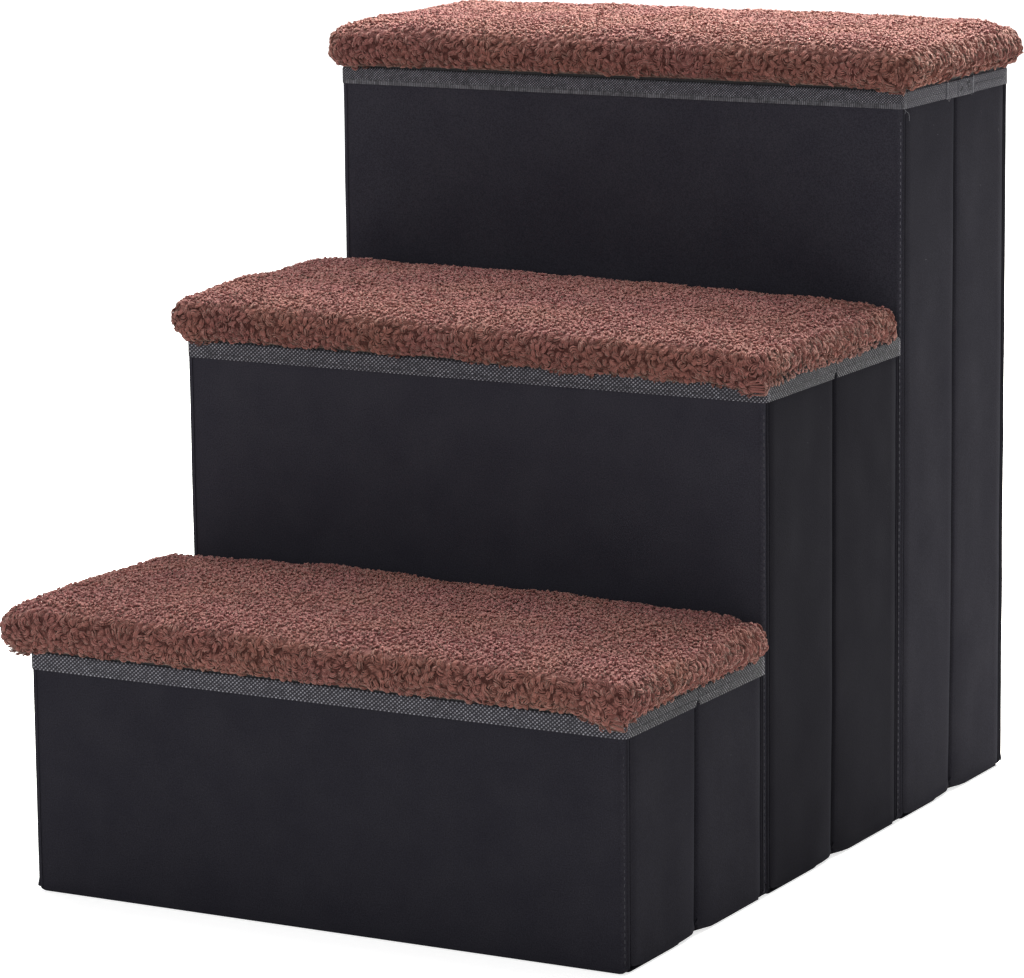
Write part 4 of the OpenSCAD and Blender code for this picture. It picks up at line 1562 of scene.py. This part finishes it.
def fleece_lid(box):
    """Fleece cover of a lid: its backing, fine curls on the tread and locks round the edge."""
    fleece = bpy.context.scene.stair_fleece
    rng = np.random.default_rng(11 + BOXES.index(box))
    coarse = 1.0
    curl_radius = 0.00084 * coarse
    clump = 0.0036 * coarse
    strand_radius = 0.00056 * coarse
    base = lid_base(box)
    places, normals = scatter(base, fleece.top_spacing * coarse, rng, True)
    tread = curl_paths(places, normals, fleece.top_length, curl_radius, clump, 4, rng)
    places, normals = scatter(base, fleece.edge_spacing * coarse, rng, False)
    edge = lock_paths(places, normals, fleece.edge_length, strand_radius, 4, 6, rng)
    finish = finish_of("Curly fleece", fleece_material)
    # shade: how pale the sides of a clump stay; the edge locks get more painted shade than the tread curls
    for name, rows, shade, on_edge in (("tread", tread, 0.9, 0.0), ("edge", edge, 0.5, 1.0)):
        on_right = rows[0][:, 0, 0] > 0
        for side, chosen in (("left", ~on_right), ("right", on_right)):
            part = [row[chosen] for row in rows]
            curls = curl_mesh(f"{box}_lid_{name}_pile_{side}", *part, 3, shade, on_edge)
            keep_off_rim(curls, box)
            take(curls)
            bpy.ops.object.shade_smooth()
            dress(curls, f"{box}_lid", "fleece", finish)
    base.data.uv_layers.new(name="strand")
    # Steep parts of the backing are marked as edge, which the material paints darker as shade
    rises = np.array([v.normal.z for v in base.data.vertices])
    steep = np.clip((0.95 - rises) / 0.4, 0, 1)
    flat = np.zeros(len(rises))
    set_values(base.data, {"tip": flat, "dye": flat + 0.5, "backing": flat + 1, "edge": steep})
    take(base)
    bpy.ops.object.shade_smooth()
    dress(base, f"{box}_lid", "fleece", finish, f"{box}_lid_fleece")
    return base


def foam_pad(box):
    """Foam pad on a lid's board, its top edges eased."""
    lo, hi = corners(f"{box}_lid_pad")
    trim = Vector((0.003, 0.002, 0))
    front_radius = 0.006
    rear_radius = 0.014
    top_radius = 0.003
    lo += trim
    hi -= trim
    piece = block(f"{box}_lid_foam", lo, hi)
    edit(piece)
    bevel(lambda e: runs_along(e, 2) and all_at(e, 1, lo.y), front_radius, 4)
    bevel(lambda e: runs_along(e, 2) and all_at(e, 1, hi.y), rear_radius, 6)
    bevel(lambda e: all_at(e, 2, hi.z), top_radius, 3)
    done()
    smooth(piece)
    dress(piece, f"{box}_lid", "foam", finish_of("Pad foam", foam_material), f"{box}_lid_pad")
    return piece


# Floor

def floor_sheet(box):
    """Soft floor of a box, drawn in at its sides beside the crease where the box folds."""
    side_grid = 0.018
    rear_grid = 0.007
    crease_reach = 0.022
    drawn_in = 0.007
    lo, hi = corners(f"{box}_floor_cloth")
    piece = block(f"{box}_floor_sheet", lo, hi)
    edit(piece)
    cut_along(0, side_grid)
    cut_along(1, rear_grid)

    def on_corner(e):
        ways = {round(f.normal.x) for f in e.link_faces} | {round(f.normal.y) for f in e.link_faces}
        return runs_along(e, 2) and e.is_manifold and len(ways) > 2

    corner_radius = 0.002
    bevel(on_corner, corner_radius, 2)
    done()
    crease = corners(f"{box}_right_front_wall")[1].y
    points = points_of(piece)
    at_side = np.clip((np.abs(points[:, 0]) - hi.x + side_grid) / side_grid, 0, 1)
    near_crease = np.clip(1 - np.abs(points[:, 1] - crease) / crease_reach, 0, 1)
    points[:, 0] -= np.sign(points[:, 0]) * at_side * near_crease * drawn_in
    set_points(piece, points)
    smooth(piece)
    dress(piece, BACK_BODY[box], "cloth", wall_cloth(box, "back"), f"{box}_floor_cloth")
    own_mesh(piece)
    return piece


# Operators

class BuildCovers(bpy.types.Operator):
    """Cloth sleeves of the front and back walls"""
    bl_idname = "stairs.covers"
    bl_label = "Front and back cloth"

    def execute(self, context):
        for box in BOXES:
            for end in ENDS:
                wall_cover(box, end)
        return {"FINISHED"}


class BuildSides(bpy.types.Operator):
    """Side walls with their creases"""
    bl_idname = "stairs.sides"
    bl_label = "Side walls"

    def execute(self, context):
        for box in BOXES:
            for side in SIDES:
                for end in ENDS:
                    half_wall(box, side, end)
        return {"FINISHED"}


class BuildTapes(bpy.types.Operator):
    """Woven tape over every rim"""
    bl_idname = "stairs.tapes"
    bl_label = "Rim tapes"

    def execute(self, context):
        for box in BOXES:
            for end in ENDS:
                end_tape(box, end)
                for side in SIDES:
                    side_tape(box, side, end)
        return {"FINISHED"}


class BuildStitches(bpy.types.Operator):
    """Stitching of the cloth and of the tape"""
    bl_idname = "stairs.stitches"
    bl_label = "Stitches"

    def execute(self, context):
        for box in BOXES:
            for end in ENDS:
                seam_stitches(box, end)
            tape_stitches(box)
        return {"FINISHED"}


class BuildThreads(bpy.types.Operator):
    """Lapped tape ends, bar tacks, thread tails and lint"""
    bl_idname = "stairs.threads"
    bl_label = "Tape ends and loose threads"

    def execute(self, context):
        for end in ENDS:
            tape_lap(end)
            bar_tacks(end)
        knots()
        corner_tail()
        for box in BOXES:
            for side in SIDES:
                for end in ENDS:
                    lint(box, side, end, 3)
        return {"FINISHED"}


class BuildLids(bpy.types.Operator):
    """Fleece, foam and board of the lids"""
    bl_idname = "stairs.lids"
    bl_label = "Lids"

    def execute(self, context):
        for box in BOXES:
            fleece_lid(box)
            foam_pad(box)
        return {"FINISHED"}


class BuildFloors(bpy.types.Operator):
    """Soft floors under the base flaps"""
    bl_idname = "stairs.floors"
    bl_label = "Floor cloths"

    def execute(self, context):
        for box in BOXES:
            floor_sheet(box)
        return {"FINISHED"}


class FinishBoards(bpy.types.Operator):
    """Finishes of the boards and flaps that the frame already has"""
    bl_idname = "stairs.boards"
    bl_label = "Boards and flaps"

    def execute(self, context):
        for name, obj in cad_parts.items():
            if name.endswith(("_lid_board", "_flap")):
                finish = finish_of("Black lining", lining_material)
            elif name.endswith("_board"):
                finish = finish_of("Fibreboard", board_material)
            else:
                dark, pale = (0.02, 0.02, 0.02), (0.03, 0.03, 0.03)
                finish = finish_of("Hidden cloth", cloth_material, "Hidden cloth", 0.0, dark, pale)
            for slot in obj.material_slots:
                slot.material = finish
        return {"FINISHED"}


class BuildStage(bpy.types.Operator):
    """Floor, lamps and camera"""
    bl_idname = "stairs.stage"
    bl_label = "Stage"

    def execute(self, context):
        floor()
        lamps()
        camera()
        return {"FINISHED"}


class StairsPanel(bpy.types.Panel):
    """Pet stairs tools"""
    bl_idname = "VIEW3D_PT_pet_stairs"
    bl_label = "Pet stairs"
    bl_space_type = "VIEW_3D"
    bl_region_type = "UI"
    bl_category = "Pet stairs"

    def draw(self, context):
        scene = context.scene
        for settings in (scene.stair_cloth, scene.stair_tape, scene.stair_stitch, scene.stair_fleece):
            box = self.layout.box()
            for name in settings.bl_rna.properties.keys():
                if name not in ("rna_type", "name"):
                    box.prop(settings, name)
        for operator in OPERATORS:
            self.layout.operator(operator.bl_idname)


# Stage

def background_rays(tree):
    """One for the rays that show the white background: seen straight, mirrored or through glass."""
    paths = node(tree, "ShaderNodeLightPath").outputs
    mirrored = math_node(tree, "MAXIMUM", paths["Is Glossy Ray"], paths["Is Transmission Ray"])
    return math_node(tree, "MAXIMUM", paths["Is Camera Ray"], mirrored)


def floor():
    """Plain pale floor that keeps the shadow of the stairs."""
    clear()
    bpy.ops.mesh.primitive_plane_add(size=12, location=(0, 0, -0.0002))
    ground = bpy.context.object
    ground.name = "floor"
    made, tree, shader = material("Pale floor")
    place = object_place(tree)
    far = node(tree, "ShaderNodeVectorMath", {0: place}, operation="LENGTH").outputs["Value"]
    glow = times(tree, background_rays(tree), remap(tree, far, 0.35, 1.3, 0.72, 1.1))
    feed(tree, shader.inputs, {
        "Base Color": mix_color(tree, noise(tree, place, 3.0, 2.0), (0.80, 0.80, 0.80), (0.82, 0.82, 0.82)),
        "Roughness": 0.9,
        "Specular IOR Level": 0.1,
        "Emission Color": mix_color(tree, glow, (0, 0, 0), (1, 1, 1)),
        "Emission Strength": 1.0})
    ground.data.materials.append(made)


def lamp(name, place, aim, size, power, color):
    """A soft square lamp that looks at a point."""
    light = bpy.data.lights.new(name, "AREA")
    light.size = size
    light.energy = power
    light.color = color
    obj = bpy.data.objects.new(name, light)
    bpy.context.scene.collection.objects.link(obj)
    obj.location = place
    obj.rotation_mode = "QUATERNION"
    obj.rotation_quaternion = (Vector(aim) - Vector(place)).to_track_quat("-Z", "Y")


def lamps():
    """Three soft lamps, a pale world and the plain view transform."""
    lamp("sky panel", (-0.6, 0.9, 2.6), (0, 0, 0.3), 2.0, 92, (1.0, 0.98, 0.95))
    lamp("rear panel", (0.1, 1.55, 1.6), (0, 0, 0.4), 0.9, 98, (1.0, 0.98, 0.90))
    lamp("front panel", (-0.8, -2.8, 1.5), (0, 0, 0.3), 1.8, 15, (0.98, 0.99, 1.0))
    world = bpy.data.worlds.new("Studio")
    bpy.context.scene.world = world
    world.use_nodes = True
    tree = world.node_tree
    tree.nodes.clear()
    strength = remap(tree, background_rays(tree), 0, 1, 0.42, 1.0)
    back = node(tree, "ShaderNodeBackground", {"Color": (1, 1, 1, 1), "Strength": strength})
    out = node(tree, "ShaderNodeOutputWorld")
    tree.links.new(back.outputs[0], out.inputs[0])
    bpy.context.scene.view_settings.view_transform = "Standard"


def camera():
    """The photograph's camera: its angles, distance and lens, fitted to the corners of the boxes."""
    azimuth, elevation, roll = math.radians(28.82), math.radians(10.93), math.radians(-0.66)
    distance, shift_right, shift_up = 2.96306, -0.02152, -0.01549
    focal_px, frame_px, sensor = 4743.57, 1024, 36
    # the fitted camera looks at a point behind the lower box's front face
    front = corners("lower_front_cover")[0].y
    target = Vector((0, front + 0.280, 0.230))
    level = math.cos(elevation)
    back = Vector((math.sin(azimuth) * level, -math.cos(azimuth) * level, math.sin(elevation)))
    right = Vector((math.cos(azimuth), math.sin(azimuth), 0))
    up = back.cross(right)
    c, s = math.cos(roll), math.sin(roll)
    right_turned = right * c + up * s
    up_turned = up * c - right * s
    place = target + back * distance + right * shift_right + up * shift_up
    lens = bpy.data.cameras.new("photo camera")
    lens.sensor_width = sensor
    lens.lens = focal_px / frame_px * sensor
    lens.clip_start = 0.1
    lens.clip_end = 30
    obj = bpy.data.objects.new("photo camera", lens)
    bpy.context.scene.collection.objects.link(obj)
    turn = Matrix((right_turned, up_turned, back)).transposed()
    obj.matrix_world = Matrix.Translation(place) @ turn.to_4x4()
    bpy.context.scene.camera = obj


GROUPS = {
    "stair_cloth": StairCloth,
    "stair_tape": StairTape,
    "stair_stitch": StairStitch,
    "stair_fleece": StairFleece}
OPERATORS = (
    BuildStage, FinishBoards, BuildCovers, BuildSides, BuildTapes,
    BuildStitches, BuildThreads, BuildLids, BuildFloors)


def register():
    """Adds the settings, the operators and the panel."""
    for name, made in GROUPS.items():
        bpy.utils.register_class(made)
        setattr(bpy.types.Scene, name, bpy.props.PointerProperty(type=made))
    for operator in OPERATORS:
        bpy.utils.register_class(operator)
    bpy.utils.register_class(StairsPanel)


def unregister():
    """Takes away what register added."""
    bpy.utils.unregister_class(StairsPanel)
    for operator in reversed(OPERATORS):
        bpy.utils.unregister_class(operator)
    for name, made in reversed(GROUPS.items()):
        delattr(bpy.types.Scene, name)
        bpy.utils.unregister_class(made)


def main():
    """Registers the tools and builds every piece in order."""
    register()
    bpy.ops.stairs.stage()
    bpy.ops.stairs.boards()
    bpy.ops.stairs.covers()
    bpy.ops.stairs.sides()
    bpy.ops.stairs.tapes()
    bpy.ops.stairs.stitches()
    bpy.ops.stairs.threads()
    bpy.ops.stairs.lids()
    bpy.ops.stairs.floors()
    clear()


if __name__ == "__main__":
    main()
